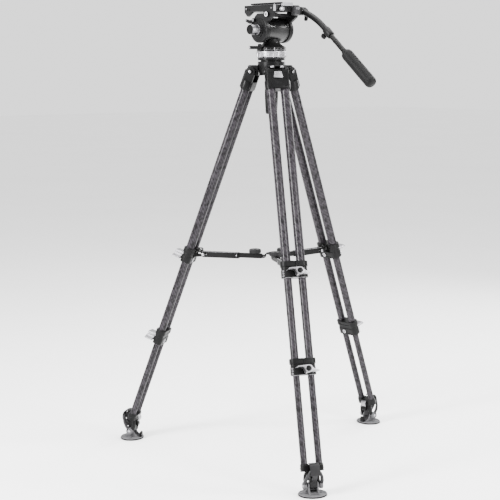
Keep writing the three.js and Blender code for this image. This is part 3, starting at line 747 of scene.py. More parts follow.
def clamp_lever(leg, name, clamp, place):
    """A polished cam lever: thin on the left, broad round its pivot, tapering to the tip."""
    x, _, _, end = clamp
    at = end - LEVER_RISE
    body = f"{leg}_{name}_clamp_lever"
    outline = smoothed([(-38.5, 4.6), (-36.4, 8.6), (-31, 10.2), (-20, 10.9), (-8, 11.6), (3, 11.9),
                        (10.6, 8.2), (15.6, 1.2), (25, -2.8), (35, -5.8), (36.6, -7.6), (34.4, -9.2),
                        (22, -9.9), (10, -10.8), (1, -13.2), (-5, -13.7), (-8.4, -10.8), (-10.2, -3.2),
                        (-14, 3.6), (-20, 6.4), (-32, 6.7), (-36.6, 3.6)], 3)
    blade = eased(cross_plate([(LEVER_Y + y, z - at) for y, z in outline[:-1]], x + 1.8, x + 30.4), 0.8)
    hollow = [(LEVER_Y + y, z - at) for y, z in ((-8, 9.4), (3, 9.4), (8, 3), (8, -6), (-4, -10), (-6, 0))]
    pit = spun([(0, 0), (9.6, 0), (9.6, 3), (0, 3)], 40, (1, 0, 0), (x + 29.2, LEVER_Y, -at))
    blade = cut(blade, [cross_plate(hollow, x + 4, x + 26), pit])
    piece(f"{leg}_{name}_lever_blade", body, SILVER, place, [blade], [f"{leg}_{name}_lever"])
    disc = spun([(0, 1.2), (2.4, 1.2), (3.0, 1.7), (7.4, 1.7), (8.9, 0.8), (8.9, 0), (0, 0)], 40,
                (1, 0, 0), (x + 29.1, LEVER_Y, -at))
    hub = spun([(10.6, 0.6), (10.6, 3.4), (0, 3.4), (0, 0.6)], 40, (1, 0, 0), (x, LEVER_Y, -at))
    piece(f"{leg}_{name}_lever_disc", body, BLACK_PLASTIC, place, [disc, hub])


def bracket(leg, place):
    """The two ears and pin on the inner side of the upper clamp that carry the spreader."""
    make = on(leg, place, leg + "_")
    pin = (-48.9, -662.2)
    ear = arc(pin, 8.5, 100, 280, 16) + [(-15, -686), (-15, -654)]
    window = [(-42, -660), (-24, -658.5), (-24, -672), (-36, -669)]
    ears = both(lambda side: cut(eased(side_plate(ear, *span(side, 9.9, 14.6)), 1.0),
                                 [side_plate(window, *span(side, 8.9, 15.6))]))
    root = eased_block((-21.5, -15), (-15.5, 15.5), (-688, -652), 1.0)
    make("bracket_ears", BLACK, ears + [root])
    head = [(0, 2.2), (2.0, 2.2), (5.0, 1.4), (5.4, 0), (0, 0)]
    heads = spun_sides(head, 28, (pin[0], 14.4, pin[1]))
    make("bracket_pin", STEEL, [rod("y", 3.9, (-14.8, 14.8), pin)] + heads)
    hook = ribbon(smoothed([(-24, -655), (-27, -648), (-34, -645.5), (-39, -648)], 5), 3.4)
    make("bracket_hook", BLACK_PLASTIC, [eased(side_plate(hook, -5, 5), 0.6)])


def yoke(leg, place):
    """The casting that closes the lower tubes, its boss on the ankle pin, and the strap before it."""
    make = on(leg + "_lower", place, leg + "_")
    z0, z1 = -YOKE[1] + 8, -YOKE[0]
    ankle = ankle_point(leg)
    bar = cut(eased(prism(rounded(15, 38, 13, 10), z0, z1), 1.8, 3), bore_pair(9.4, z1 - 5, z1 + 9, 40) + [
        block((13.6, 40), (17, 30), (z0 + 4, z1 - 4)), block((13.6, 40), (-30, -17), (z0 + 4, z1 - 4)),
        block((-40, -13.4), (-20, 20), (z0 + 6, z1 - 5))])
    cap = [(13.4, -1.0), (13.4, 3.2), (12.6, 4.2), (11.05, 4.2), (11.05, -1.0)]
    caps = both(lambda side: spun(cap, 48, (0, 0, 1), (0, side * HALF_SPACING, z1)))
    make("yoke_casting", BLACK, [bar] + caps, ["lower_stage"])
    boss = arc((ankle.x, ankle.z), 11.8, 160, 345, 24) + [(14.6, z0 + 2), (-14.6, z0 + 2)]
    panel = [(-10, z0 - 2), (10, z0 - 2), (-2, ankle.z + 13), (-14, ankle.z + 13)]
    boss = cut(eased(side_plate(boss, -11.2, 11.2), 1.4, 3), [
        rod("y", 4.6, (-20, 20), (ankle.x, ankle.z)),
        side_plate(panel, 10.2, 20), side_plate(panel, -20, -10.2)])
    make("yoke_boss", GREY_PLASTIC, [boss])
    curve = smoothed([(18, -1310.5), (29, -1314), (35.6, -1323), (36.4, -1336), (31.6, -1349), (22, -1359),
                      (12, -1364.4), (4, -1367)], 6)
    tongue = eased(side_plate(ribbon(curve[22:], lambda t: 4.4 - 0.4 * t), -8.2, 8.2), 1.4, 3)
    head = eased(side_plate(ribbon(curve[:25], 4.6), -15.6, 15.6), 1.8, 3)
    make("yoke_strap", GREY_PLASTIC, [head])
    make("yoke_tongue", MID_GREY, [tongue])
    prongs = both(lambda side: sweep([
        (-6, side * 15, -1331), (-14, side * 20, -1346), (-17.5, side * 21, -1358),
        (ankle.x - 5, side * 22, ankle.z + 4)], [6.0, 6.6, 6.6, 6.2]))
    core = [(13, -1315), (24, -1314.5), (30, -1323), (25, -1337), (17, -1350), (6, -1357), (-2, -1345)]
    make("ankle_fork", BLACK, prongs + [eased(side_plate(core, -11.6, 11.6), 1.4)])
    make("ankle_links", MID_GREY, both(lambda side: sweep([
        (31, side * 13, -1335), (28.5, side * 18.5, -1343), (21, side * 24, -1353),
        (9, side * 27.6, -1364), (ankle.x + 3, side * 28, ankle.z + 4)],
        [4.4, 5.0, 5.4, 6.0, 6.6], scale=(1.0, 0.85))))
    washer = [(4.2, 0), (11.0, 0), (12.0, 1), (12.0, 9.0), (11.0, 10.4), (7.8, 10.4),
              (7.0, 8.8), (4.2, 8.8)]
    make("ankle_rings", PAD_GREY, spun_sides(washer, 40, (ankle.x, 22.0, ankle.z)))
    disc = [(0, 3.0), (2.6, 3.0), (3.4, 2.2), (5.2, 1.8), (5.2, 0), (0, 0)]
    discs = spun_sides(disc, 32, (ankle.x, 30.2, ankle.z))
    pins = both(lambda side: rod("y", 3.8, span(side, 18.5, 31), (ankle.x, ankle.z)))
    make("ankle_discs", STEEL, discs + pins)
    lobe = ribbon(smoothed([(-12, -1337), (-19.5, -1341), (-23.5, -1348.5)], 6), lambda t: 6 + 4 * t)
    make("yoke_lobe", BLACK_PLASTIC, [eased(side_plate(lobe, -9, 9), 1.2)])
    hook = ribbon(smoothed([(-14, -1317), (-21, -1319), (-24.6, -1326), (-23.6, -1334)], 6), 3.2)
    make("yoke_hook", SILVER, [eased(side_plate(hook, -10, 10), 0.7)])
    studs = both(lambda side: screw_at(2.4, 2.2, (0, side, 0), (0, side * 37.4, (z0 + z1) / 2)))
    make("yoke_screws", slotted(GRAPHITE, "steel_fasteners"), studs)


def foot(leg, place):
    """The pivoting pad: place stands on the floor under the ankle, X outward."""
    ankle = Vector(JOINTS[leg + "_ankle"]["pos_m"]).z / MM
    oval = Matrix.Diagonal((PAD_HALF_DEPTH / PAD_HALF_WIDTH, 1, 1, 1))
    wide = PAD_HALF_WIDTH
    sole = turned([(0, 0.2), (wide - 2.4, 0.2), (wide - 0.9, 0.9), (wide - 0.2, 2.0), (wide - 0.2, 4.6),
                   (wide - 1.2, 5.0), (0, 5.0)], 72)
    make = on(leg + "_pad", place, leg + "_")
    make("sole", SOLE, [moved(sole, oval)], ["foot"], sharp=50)
    pad = turned([(0, 4.8), (wide - 1.4, 4.8), (wide - 1.0, 5.2), (wide - 1.0, 6.2), (wide - 2.2, 7.6),
                  (wide - 4.2, 8.0), (wide - 5.4, 7.0), (wide - 6.2, 6.6), (wide - 12.0, 6.8),
                  (wide - 13.0, 7.8), (0, 7.8)], 72)
    make("pad_top", PAD_GREY, [moved(pad, oval)], sharp=50)
    outline = [(-29, 7.2), (29, 7.2), (24, 11), (15, 21.8)] + arc((0, ankle), 10.9, -20, 200, 20) + [
        (-15, 21.8), (-24, 11)]
    window = [(-12, 11.5), (12, 11.5), (7, 19), (-7, 19)]
    cheeks = both(lambda side: cut(eased(side_plate(outline, *span(side, 12.7, 17.4)), 0.9),
                                   [side_plate(window, *span(side, 15.6, 20))]))
    ribs = [eased_block((x - 1.1, x + 1.1), (-12.9, 12.9), (7, 13), 0.5, 1) for x in (-23, -15, 15, 23)]
    make("foot_cheeks", PAD_GREY, cheeks + ribs)
    boss = [(10.3, 0), (10.3, 1.2), (9.4, 1.8), (7.6, 1.8), (7.6, 0)]
    make("foot_bosses", PAD_GREY, spun_sides(boss, 36, (0, 16.8, ankle)))

    def drilled_lug(side):
        centre = [(0, side * 17), (0, side * 27), (-2, side * 35)]
        lug = eased(prism(ribbon(centre, lambda t: 17 - 6 * t), 6.8, 10.6), 0.8)
        return cut(lug, [rod("z", 2.7, (0, 20), (-1.0, side * 30.5), 24, 0.01)])

    make("foot_lugs", PAD_GREY, both(drilled_lug))
    disc = [(0, 3.0), (3.2, 3.0), (4.2, 2.4), (7.2, 2.0), (7.2, 0), (0, 0)]
    discs = spun_sides(disc, 32, (0, 16.8, ankle))
    make("ankle_pin", STEEL, discs + [rod("y", 4.0, (-17.5, 17.5), (0, ankle))])
    wing = [(-39.6, 6.8), (-30, 6.8), (-29, 15), (-31, 24), (-35, 28.5), (-39, 25)]
    make("foot_tab", BLACK_PLASTIC, [eased(side_plate(wing, -7, 7), 1.2)])


for leg in LEGS:
    down = leg_frame(leg)
    stand = station_frame(leg)
    ankle_at = Vector(JOINTS[leg + "_ankle"]["pos_m"])
    axes = [stand.col[i].to_3d().normalized() for i in range(3)]
    under_ankle = basis((ankle_at.x, ankle_at.y, 0), *axes)
    piece(leg + "_upper_tubes", leg, CARBON, down, tube_pair(UPPER_TUBE),
          [leg + "_upper_tube_a", leg + "_upper_tube_b"])
    piece(leg + "_middle_tubes", leg + "_middle", CARBON, down, tube_pair(MIDDLE_TUBE),
          [leg + "_middle_stage"])
    piece(leg + "_lower_tubes", leg + "_lower", CARBON, down, tube_pair(LOWER_TUBE))
    leg_head(leg, down)
    angle_catch(leg, down)
    clamp_casting(leg, "upper_clamp", UPPER_CLAMP, (15.25, 13.35), leg, down, [leg + "_upper_clamp"])
    clamp_casting(leg, "lower_clamp", LOWER_CLAMP, (13.25, 11.35), leg + "_middle", down, [])
    clamp_lever(leg, "upper", UPPER_CLAMP, down)
    clamp_lever(leg, "lower", LOWER_CLAMP, down)
    bracket(leg, down)
    yoke(leg, down)
    foot(leg, under_ankle)

# ---- spreader ----

SPREADER_HEIGHT = 691.0
HUB_PIN = 24.0
BRACKET_PIN = 245.0
ARM_KNOB_X = 58.0


def spreader_arm(leg, place):
    """One arm: an open channel on the leg's bracket, a bar inside it, and a knob that locks it."""
    on_channel = on(leg + "_channel", place, leg + "_")
    on_bar = on(leg + "_bar", place, leg + "_")
    low, high = SPREADER_HEIGHT - 10.25, SPREADER_HEIGHT + 10.25
    profile = [(116, low), (247, low), (253, low + 5), (253, high - 5), (247, high), (116, high)]
    channel = cut(eased(side_plate(profile, -9, 9), 0.8), [
        block((100, 260), (-7.1, 7.1), (low + 2.8, high + 2)),
        rod("y", 4.4, (-12, 12), (BRACKET_PIN, SPREADER_HEIGHT)),
        block((132, 226), (8.5, 12), (low + 5, high - 5)),
        block((132, 226), (-12, -8.5), (low + 5, high - 5))])
    on_channel("channel_body", BLACK, [channel], ["spreader_channel"])
    edges = both(lambda side: eased_block((118, 250), span(side, 7.4, 8.9), (high - 0.6, high + 0.35),
                                          0.25, 1))
    on_channel("channel_edges", slotted(PALE_GREY, "graphite_casting"), edges)
    rivets = [spun([(0, 1.1), (2.2, 0.8), (3.0, 0), (0, 0)], 20,
                   (0, side, 0), (x, side * 8.4, SPREADER_HEIGHT))
              for side in (-1, 1) for x in (124, 236)]
    on_channel("channel_rivets", STEEL, rivets)
    low, high = SPREADER_HEIGHT - 7, SPREADER_HEIGHT + 9.6
    bar = eased_block((33.6, 156), (-6.6, 6.6), (low, high), 0.9)
    bar = cut(bar, [block((70, 150), (-4.4, 4.4), (high - 1.2, high + 3)),
                    block((44, 150), (5.6, 9), (low + 3.4, high - 3.4)),
                    block((44, 150), (-9, -5.6), (low + 3.4, high - 3.4))])
    nose = side_plate(arc((HUB_PIN, SPREADER_HEIGHT), 5, 90, 270, 16) + [(37, low), (37, high)], -3.4, 3.4)
    on_bar("bar_body", slotted(BLACK, "graphite_casting"), [bar, eased(nose, 0.4, 1)], ["spreader_bar"])
    pin = rod("y", 2.2, (-5.6, 5.6), (HUB_PIN, SPREADER_HEIGHT))
    on_bar("bar_pin", STEEL, [pin])
    knob = turned([(0, -3.7), (4.5, -3.7), (4.5, 0), (19.6, 0), (20.9, 1.4), (20.9, 11.0), (19.4, 13.2),
                   (17.0, 14.2), (15.6, 14.2), (14.4, 12.8), (5.4, 12.8), (4.6, 14.4), (0, 14.4)],
                  96, knurled(24, 0.07, 0.5, 12.2))
    on_lock = on(leg + "_arm_lock", place @ shift(ARM_KNOB_X, 0, SPREADER_HEIGHT + 11.25), leg + "_")
    on_lock("arm_knob", GREY_PLASTIC, [knob], ["spreader_knob"])
    cap = turned([(0, 13.5), (12.6, 13.5), (13.2, 13.0), (13.2, 12.2), (0, 12.2)], 40)
    on_lock("arm_knob_cap", GRAPHITE, [cap])


def spreader_hub():
    """The disc in the middle, with a pair of ears for each arm."""
    low = SPREADER_HEIGHT + 9
    make = on("hub", WORLD @ shift(z=low))
    disc = turned([(0, 0), (16.2, 0), (17.8, 1.6), (17.8, 2.8), (16.2, 5.6), (12.6, 6.4), (12.0, 5.4),
                   (9.4, 5.4), (8.6, 7.7), (0, 7.7)], 60)
    make("spreader_hub_disc", GREY_PLASTIC, [disc], ["spreader_hub"])
    ears = []
    for leg in LEGS:
        local = WORLD.inverted() @ station_frame(leg)
        for side in (-1, 1):
            ear = [(10, low + 0.6), (10, low + 3.6), (17, low + 3.6), (27.6, SPREADER_HEIGHT + 3)]
            ear += arc((HUB_PIN, SPREADER_HEIGHT), 4.6, 20, -180, 12) + [(16, low + 0.6)]
            ears.append(moved(eased(side_plate(ear, *span(side, 3.7, 5.6)), 0.3, 1), local))
    piece("spreader_hub_ears", "hub", slotted(BLACK, "graphite_casting"), WORLD, ears)
    make("spreader_hub_screw", STEEL, [moved(screw(5.2, 2.2), shift(z=5.7))])


for leg in LEGS:
    spreader_arm(leg, station_frame(leg))
spreader_hub()

# ---- crown ----


def crown():
    """The bowl, its rim, and a lug for each leg."""
    make = on("crown")
    seat = 38.4
    hinge = (HINGE_RADIUS, HINGE_HEIGHT)
    bowl = turned([(18, 1318), (36, 1318), (40.5, 1322.5), (42.6, 1328), (45, 1341), (46.2, 1348),
                   (46.2, 1351.5), (47, 1352.5), (47, 1363.3), (45.8, 1364.5), (seat + 1.6, 1364.5),
                   (seat, 1363.2)]
                  + arc((0, BALL_CENTRE), seat, -3, -61, 12) + [(18, 1326)], 96)
    shells = [bowl]
    tops, strips, seats, faces = [], [], [], []
    for leg in LEGS:
        local = WORLD.inverted() @ station_frame(leg)
        outline = ([(41, 1317)] + arc(hinge, 13, -95, 60, 16)
                   + [(72, 1343.5), (77.4, 1343.5), (77.4, 1349.5), (74.5, 1352.4), (42, 1352.4)])
        lug = cut(eased(side_plate(outline, -25.8, 25.8), 1.2), [
            rod("y", 6.5, (-30, 30), hinge),
            rod("z", 45.0, (1300, 1400), (0, 0), 64),
            side_plate([(60, 1349), (90, 1349), (90, 1316), (80, 1316)], -8, 8)])
        shells.append(moved(lug, local))
        tops.append(moved(eased_block((50.5, 74.5), (-21, 21), (1351.6, 1353.0), 0.4, 1), local))
        for side in (-1, 1):
            y = span(side, 12, 22.5)
            strips.append(moved(eased_block((76.2, 78), y, (1344.6, 1350.4), 0.4, 1), local))
            faces.append(moved(turned([(12.4, 0), (12.4, 0.5), (10.6, 0.9), (8.0, 0.9), (8.0, 0)], 40),
                               local @ pointing((0, side, 0), (HINGE_RADIUS, side * 25.7, HINGE_HEIGHT))))
        seats.append(moved(screw(3.2, 2.6), local @ pointing((0, 0, 1), (66, 0, 1350.2))))
    make("crown_casting", BLACK, shells, ["bowl_crown"])
    make("crown_lug_plates", slotted(GRAPHITE, "black_casting"), tops)
    make("crown_lug_strips", SILVER, strips)
    make("crown_lug_faces", BLACK_SOFT, faces)
    make("crown_screws", STEEL, seats)


def bowl_knob():
    """The ribbed knob on the half ball's bolt, with its pressure plate."""
    make = on("bowl_knob")
    body = turned([(0, 1186), (15.6, 1186), (18.6, 1188), (20.2, 1194), (21.6, 1220), (22.8, 1248),
                   (22.9, 1268), (21.6, 1274.5), (17.6, 1278.6), (9.6, 1281), (0, 1281)],
                  96, knurled(8, 0.13, 1189.5, 1273))
    make("bowl_knob_body", BLACK_PLASTIC, [body], ["bowl_clamp_knob"])
    plate = turned([(0, 1280.5), (9.8, 1280.5), (9.8, 1295.6), (21.6, 1298.8), (21.9, 1300), (21.9, 1303.4),
                    (20.4, 1304.4), (8.6, 1307.2), (6.8, 1308.2), (6.8, 1322), (0, 1322)], 64)
    make("bowl_knob_plate", SILVER, [plate])


crown()
bowl_knob()

# ---- head: ball, rings and drum ----


def half_ball():
    """The ball in the bowl with its stepped flange."""
    make = on("half_ball")
    body = turned([(0, 1329.8)] + arc((0, BALL_CENTRE), 37.4, -70, 0, 14) + [
        (37.4, 1368.8), (45.6, 1368.8), (46.9, 1370), (46.9, 1372.4), (46.2, 1372.9), (46.9, 1373.4),
        (46.9, 1376.6), (45.8, 1377.6), (20, 1377.6), (20, 1399.5), (0, 1399.5)], 96)
    make("half_ball", BLACK, [body], ["half_ball_base"])
    bands = ring(47.0, 46.2, 1374.2, 1375.0, 96)
    make("half_ball_band", slotted(MID_GREY, "silver_metal"), [bands])


def drag_ring():
    """Fluted ring whose scallops run out at its lower edge."""
    def scallop(angle, radius, height):
        if radius < 45:
            return 1.0
        depth = 0.055 if 1379.4 < height < 1395.6 else 0.0
        return 1.0 - depth * max(0.0, math.cos(20 * angle)) ** 0.8

    body = turned([(21, 1378.2), (47.6, 1378.2), (50.4, 1379.2), (51.2, 1380.6), (51.3, 1384), (51.3, 1390),
                   (51.3, 1394.8), (51.2, 1396.2), (51.2, 1398.4), (50.0, 1399.6), (21, 1399.6)],
                  240, scallop)
    piece("drag_ring_fluted", "drag_ring", SILVER, WORLD, [body], ["pan_drag_ring"])


def pan_base():
    """Scale ring, flared neck and the drum between the cheeks."""
    make = on("pan")
    neck = turned([(0, 1400.4), (48.8, 1400.4), (49.9, 1401.6), (49.9, 1411.6), (48.8, 1413.2),
                   (47.6, 1413.9), (45.2, 1415.2), (41.6, 1416.9), (37.0, 1419.8), (33.0, 1422.9),
                   (30.2, 1426), (28.0, 1430), (27.2, 1438), (27, 1454), (0, 1454)], 96)
    boss = eased_block((-65.6, -40), (-15.6, -0.4), (1401.2, 1404.9), 0.8)
    make("pan_neck", slotted(BLACK, "graphite_casting"), [neck, boss], ["pan_base"])
    drum = turned([(0, -44.4), (39.0, -44.4), (40.4, -43.2), (40.4, -39.6), (39.6, -39.0), (39.6, -38.0),
                   (40.9, -37.2), (40.9, -19), (40.9, 0), (40.9, 19), (40.9, 38.4), (39.6, 39.2),
                   (39.6, 40.2), (40.4, 40.8), (40.4, 44.4), (39.0, 45.4), (0, 45.4)], 96)
    make("pan_drum", DRUM, [moved(drum, pointing((1, 0, 0), (0, 0, TILT_HEIGHT)))])
    marks = []
    for degrees in range(0, 360, 5):
        tall = 7.6 if degrees % 30 == 0 else 4.2 if degrees % 15 == 0 else 2.6
        mark = block((49.5, 50.0), (-0.32, 0.32), (1402.4, 1402.4 + tall))
        marks.append(moved(mark, turn(degrees, "Z")))
    make("pan_scale", PALE_GREY, marks)
    index = [moved(eased_block((48.6, 50.0), (-1.1, 1.1), (1401.6, 1411.4), 0.2, 1), turn(angle, "Z"))
             for angle in (-118, 62)]
    make("pan_index", PALE_GREY, index)


def pan_lock():
    """The curved lever that stops the pan."""
    make = on("pan_lock")
    outline = (arc((-59, -8), 6.4, -80, 80, 12)
               + smoothed([(-64.6, 3.4), (-72, 8.8), (-81, 14.4), (-87.2, 14.0), (-89.2, 9.6), (-87.0, 5.4),
                           (-79.4, -0.8), (-71.4, -6.6), (-64, -10.6)], 4))
    handle = eased(prism(outline, 1405.6, 1416.8), 2.2, 3)
    stud = turned([(0, 1416), (5.6, 1416), (6.4, 1417.2), (6.4, 1421.6), (5.0, 1423.6), (0, 1423.8)], 36)
    make("pan_lock_handle", BLACK, [handle, moved(stud, shift(-59, -8, 0))], ["pan_lock_lever"])
    bolt = screw_at(3.4, 0.8, (0, 0, 1), (-59, -8, 1423.1))
    tip = eased(prism(rounded(3.6, 4.4, 3.2), 1407.6, 1414.4), 0.6)
    make("pan_lock_fittings", PALE_GREY, [bolt, moved(tip, turn(36, "Z"), shift(-86.1, 10.2, 0))])


half_ball()
drag_ring()
pan_base()
pan_lock()

# ---- head: tilting cradle ----


def cheek_outline():
    """The side view of the cradle's cheeks, as (y, z) points."""
    return (arc((0, TILT_HEIGHT), CHEEK_RADIUS, 150, 395, 64)
            + [(20.4, 1517.0), (14.2, 1521.6), (8, 1525.3), (-24.8, 1525.3), (-24.8, 1532),
               (-75.6, 1532), (-69.6, 1512.2)])


def cheek_arms():
    """Both side arms, with their turned faces."""
    on_cradle = on("cradle")
    left = eased(cross_plate(cheek_outline(), *LEFT_CHEEK), 1.4, 3)
    right = eased(cross_plate(cheek_outline(), *RIGHT_CHEEK), 1.2)
    web = eased_block((-45.6, 46.6), (-45.6, 11.8), (1514.8, 1525.2), 1.2)
    web = cut(web, [block((-38, 38), (-38, 6), (1511, 1517.4))])
    on_cradle("cradle_cheeks", GRAPHITE, [left, right, web], ["tilt_cradle"])
    outer = WORLD @ pointing((-1, 0, 0), (LEFT_CHEEK[0] + 0.2, 0, TILT_HEIGHT))
    face = [(0, 0.6)]
    for groove in (27.5, 30.6, 33.7, 36.8):
        face += [(groove - 1.3, 0.6), (groove - 0.8, -0.1), (groove + 0.8, -0.1), (groove + 1.3, 0.6)]
    face += [(39.6, 0.6), (40.4, 0.2), (40.4, -1.5), (0, -1.5)]
    on_cheek = on("cradle", outer)
    on_cheek("cheek_face", slotted(BLACK, "graphite_casting"), [turned(face, 96)], sharp=24)
    rim = turned([(43.6, 0.0), (42.8, 0.55), (41.6, 0.55), (41.0, 0), (41.0, -1), (43.6, -1)], 96)
    on_cheek("cheek_rim", GRAPHITE, [rim])
    spacer = spun([(42.0, -3.6), (42.0, -0.6), (36, -0.6), (36, -3.6)], 96,
                  (1, 0, 0), (-41.9, 0, TILT_HEIGHT))
    on_cradle("cheek_spacer", BLACK, [spacer])


def housing():
    """The drag housing on the right cheek with its stepped, ribbed cap."""
    across = WORLD @ pointing((1, 0, 0), (RIGHT_CHEEK[1] + 0.2, 0, TILT_HEIGHT))
    body = turned([(0, 0), (42.8, 0), (42.8, 3.4), (41.2, 5.2), (39.4, 6.0), (38.6, 8.4), (36.8, 9.7),
                   (31.4, 9.9), (30.6, 8.4), (24.6, 8.4), (23.8, 9.9), (0, 9.9)], 120,
                  knurled(60, 0.012, 5.9, 8.6))
    make = on("cradle", across)
    make("drag_housing", slotted(BLACK, "graphite_casting"), [body], sharp=24)
    marks = [moved(block((27.0, 29.4), (-0.4, 0.4), (8.2, 8.75)), turn(30 * i, "Z")) for i in range(10)]
    make("drag_housing_marks", PALE_GREY, marks)
    make("drag_housing_screw", STEEL, [moved(screw(6.0, 1.2), shift(z=8.8))])


def platform():
    """The balance platform, its clamping rail and the fittings round it."""
    make = on("cradle")
    low, high = PLATFORM_Z
    left, right = PLATFORM_X
    front, back = PLATFORM_Y
    body = eased_block(PLATFORM_X, PLATFORM_Y, (low + 0.2, high - 0.3), 1.2)
    body = cut(body, [
        block((-23.6, 23.6), (-100, 100), (high - 6, high + 9)),
        block((-70, left + 0.8), (-64, 70), (high - 4.4, high - 3.2)),
        spun([(0, 0), (9.2, 0), (9.2, 20), (0, 20)], 32, (1, 0, 0), (-62, *LEVEL)),
        rod("x", 2.6, (-60, -50), (58, 1538)), rod("x", 2.6, (-60, -50), (48, 1538)),
        block((54, 60), (-60, 60), (1537, 1543)),
        block((right - 1.2, 60), (-60, 60), (1534.5, 1545.5))])
    nose = [(34, low + 0.8), (34, low + 0.2), (60.8, 1515.4), (66, 1519.6), (76.6, 1530), (76.6, low + 0.8)]
    noses = [eased(cross_plate(nose, *x), 0.5, 1) for x in ((-56.6, -45.2), (46.2, 57.6))]
    make("platform_body", GRAPHITE, [body] + noses)
    outline = [(-94.6, 1548.6), (-94.6, 1522.4), (-87.8, 1518.4), (-74, 1518.4), (-74, 1548.6)]
    make("handle_block", slotted(MID_GREY, "graphite_casting"),
         [eased(cross_plate(outline, 24.3, 46.2), 1.2)])
    outline = [(-93.6, 1546.6), (-93.6, 1521.4), (-88, 1518.4), (-74, 1518.4), (-74, 1546.6)]
    make("handle_block_inner", BLACK, [eased(cross_plate(outline, 45.8, 57.6), 1.2)])
    rails = [eased_block((x, x + 1.2), (-74, 74), (high - 1.2, high), 0.3, 1) for x in (-55.8, 54.6)]
    rails += both(lambda side: eased_block(span(side, 24.2, 26.2), (-74.6, 74.6),
                                           (high - 0.8, high + 1.8), 0.4, 1))
    make("platform_rails", SILVER, rails)
    strip = eased_block((-55.6, -46.4), (front - 1.6, front + 0.4), (1532, 1551.6), 0.4, 1)
    make("platform_end_strip", PALE_GREY, [strip])
    dials = [spun([(0, 2.2), (r * 0.5, 2.2), (r * 0.6, 1.4), (r * 0.85, 1.4), (r, 0.9), (r, 0), (0, 0)], 32,
                  (0, -1, 0), (x, front + 0.4, z))
             for x, z, r in ((-29.5, 1545.6, 5.2), (-40.0, 1534.6, 4.0), (8, 1541, 4.4))]
    make("platform_end_plugs", BLACK_PLASTIC, dials)
    ends = (-66, 66)
    screws = [screw_at(3.0, 2.4, (-1, 0, 0), (left + 0.4, y, 1541.6)) for y in ends]
    screws += [screw_at(3.4, 2.6, (0, -1, 0), (x, -94.4, 1541)) for x in (31, 39)]
    screws += [screw_at(2.6, 2.0, (1, 0, 0), (right - 0.8, y, 1540)) for y in ends]
    screws += [screw_at(2.8, 2.0, (0, 0, 1), (x, y, high - 0.6)) for x in (-40, 40) for y in (-62, 62)]
    screws += [screw_at(2.6, 1.8, (0, 1, 0), (x, back - 0.4, 1540)) for x in (-44, 44)]
    make("platform_screws", STEEL, screws)


def bubble_level():
    """A round level on the left cheek: a dark case, a pale ring and the dark liquid."""
    across = WORLD @ pointing((-1, 0, 0), (-52.3, *LEVEL))
    case = turned([(0, 0.2), (8.4, 0.2), (8.4, 11.8), (7.9, 12.4), (0, 12.4)], 48)
    make = on("cradle", across)
    make("level_case", slotted(BLACK_PLASTIC, "grey_plastic"), [case], ["bubble_level"])
    dome = turned([(0, 13.4), (2.8, 13.3), (4.2, 12.9), (4.2, 12.5), (0, 12.5)], 40)
    make("level_dome", DARK, [dome])
    target = turned([(4.3, 12.5), (7.9, 12.5), (7.9, 12.8), (7.2, 13.1), (4.3, 13.1)], 48)
    make("level_target", WHITE_PLASTIC, [target])


def counterbalance():
    """Turned knob: a knurled silver barrel, a dark recess, and a black dial face."""
    along = WORLD @ pointing((-1, 0, 0), (0, 0, TILT_HEIGHT))
    barrel = turned([(0, 61.2), (17.2, 61.2), (17.5, 62.0), (17.5, 66.4), (16.4, 67.2), (16.4, 69.4),
                     (17.5, 70.2), (17.5, 90.4), (16.6, 92.2), (16.0, 94.8), (0, 94.8)],
                    160, knurled(40, 0.018, 70.9, 89.6))
    make = on("counterbalance", along)
    make("counterbalance_barrel", BRUSHED, [barrel], ["counterbalance_knob"])
    skirt = turned([(0, 57.6), (23.4, 57.6), (23.9, 58.2), (23.9, 60.0), (23.0, 60.9), (18.6, 61.4),
                    (0, 61.4)], 64)
    make("counterbalance_skirt", BLACK, [skirt])
    make("counterbalance_band", STEEL,
         [ring(23.95, 22.4, 58.2, 59.6, 64), ring(16.6, 15.8, 67.8, 68.8, 64)])
    face = turned([(0, 96.8), (8.6, 96.8), (9.4, 96.0), (12.6, 96.0), (13.4, 97.2), (15.6, 97.0),
                   (16.2, 96.0), (16.2, 94.4), (0, 94.4)], 64)
    make("counterbalance_face", BLACK_PLASTIC, [face])


def tilt_lock():
    """The curved lever on the left cheek that stops the tilt."""
    make = on("tilt_lock")
    outline = arc((22, 1503), 7.2, 20, 200, 16)
    outline += smoothed([(21, 1498.4), (31, 1494.6), (40, 1491.2), (52, 1495.4), (62.4, 1499.8),
                         (64.3, 1504.0), (61.6, 1507.0), (54, 1506.8), (44, 1503.8), (35, 1504.4)], 4)
    lever = eased(cross_plate(outline, -64.4, -57.6), 1.6, 3)
    make("tilt_lock_handle", BLACK, [lever], ["tilt_lock_lever"])
    tip = [(60.2 + y, 1503.0 + z) for y, z in rounded(3.2, 2.7, 2.7 * 0.9)]
    tip = eased(cross_plate(tip, -64.9, -62.6), 0.4, 1)
    hub = screw_at(4.0, 1.0, (-1, 0, 0), (-63.9, 22, 1503))
    make("tilt_lock_tip", PALE_GREY, [tip, hub])


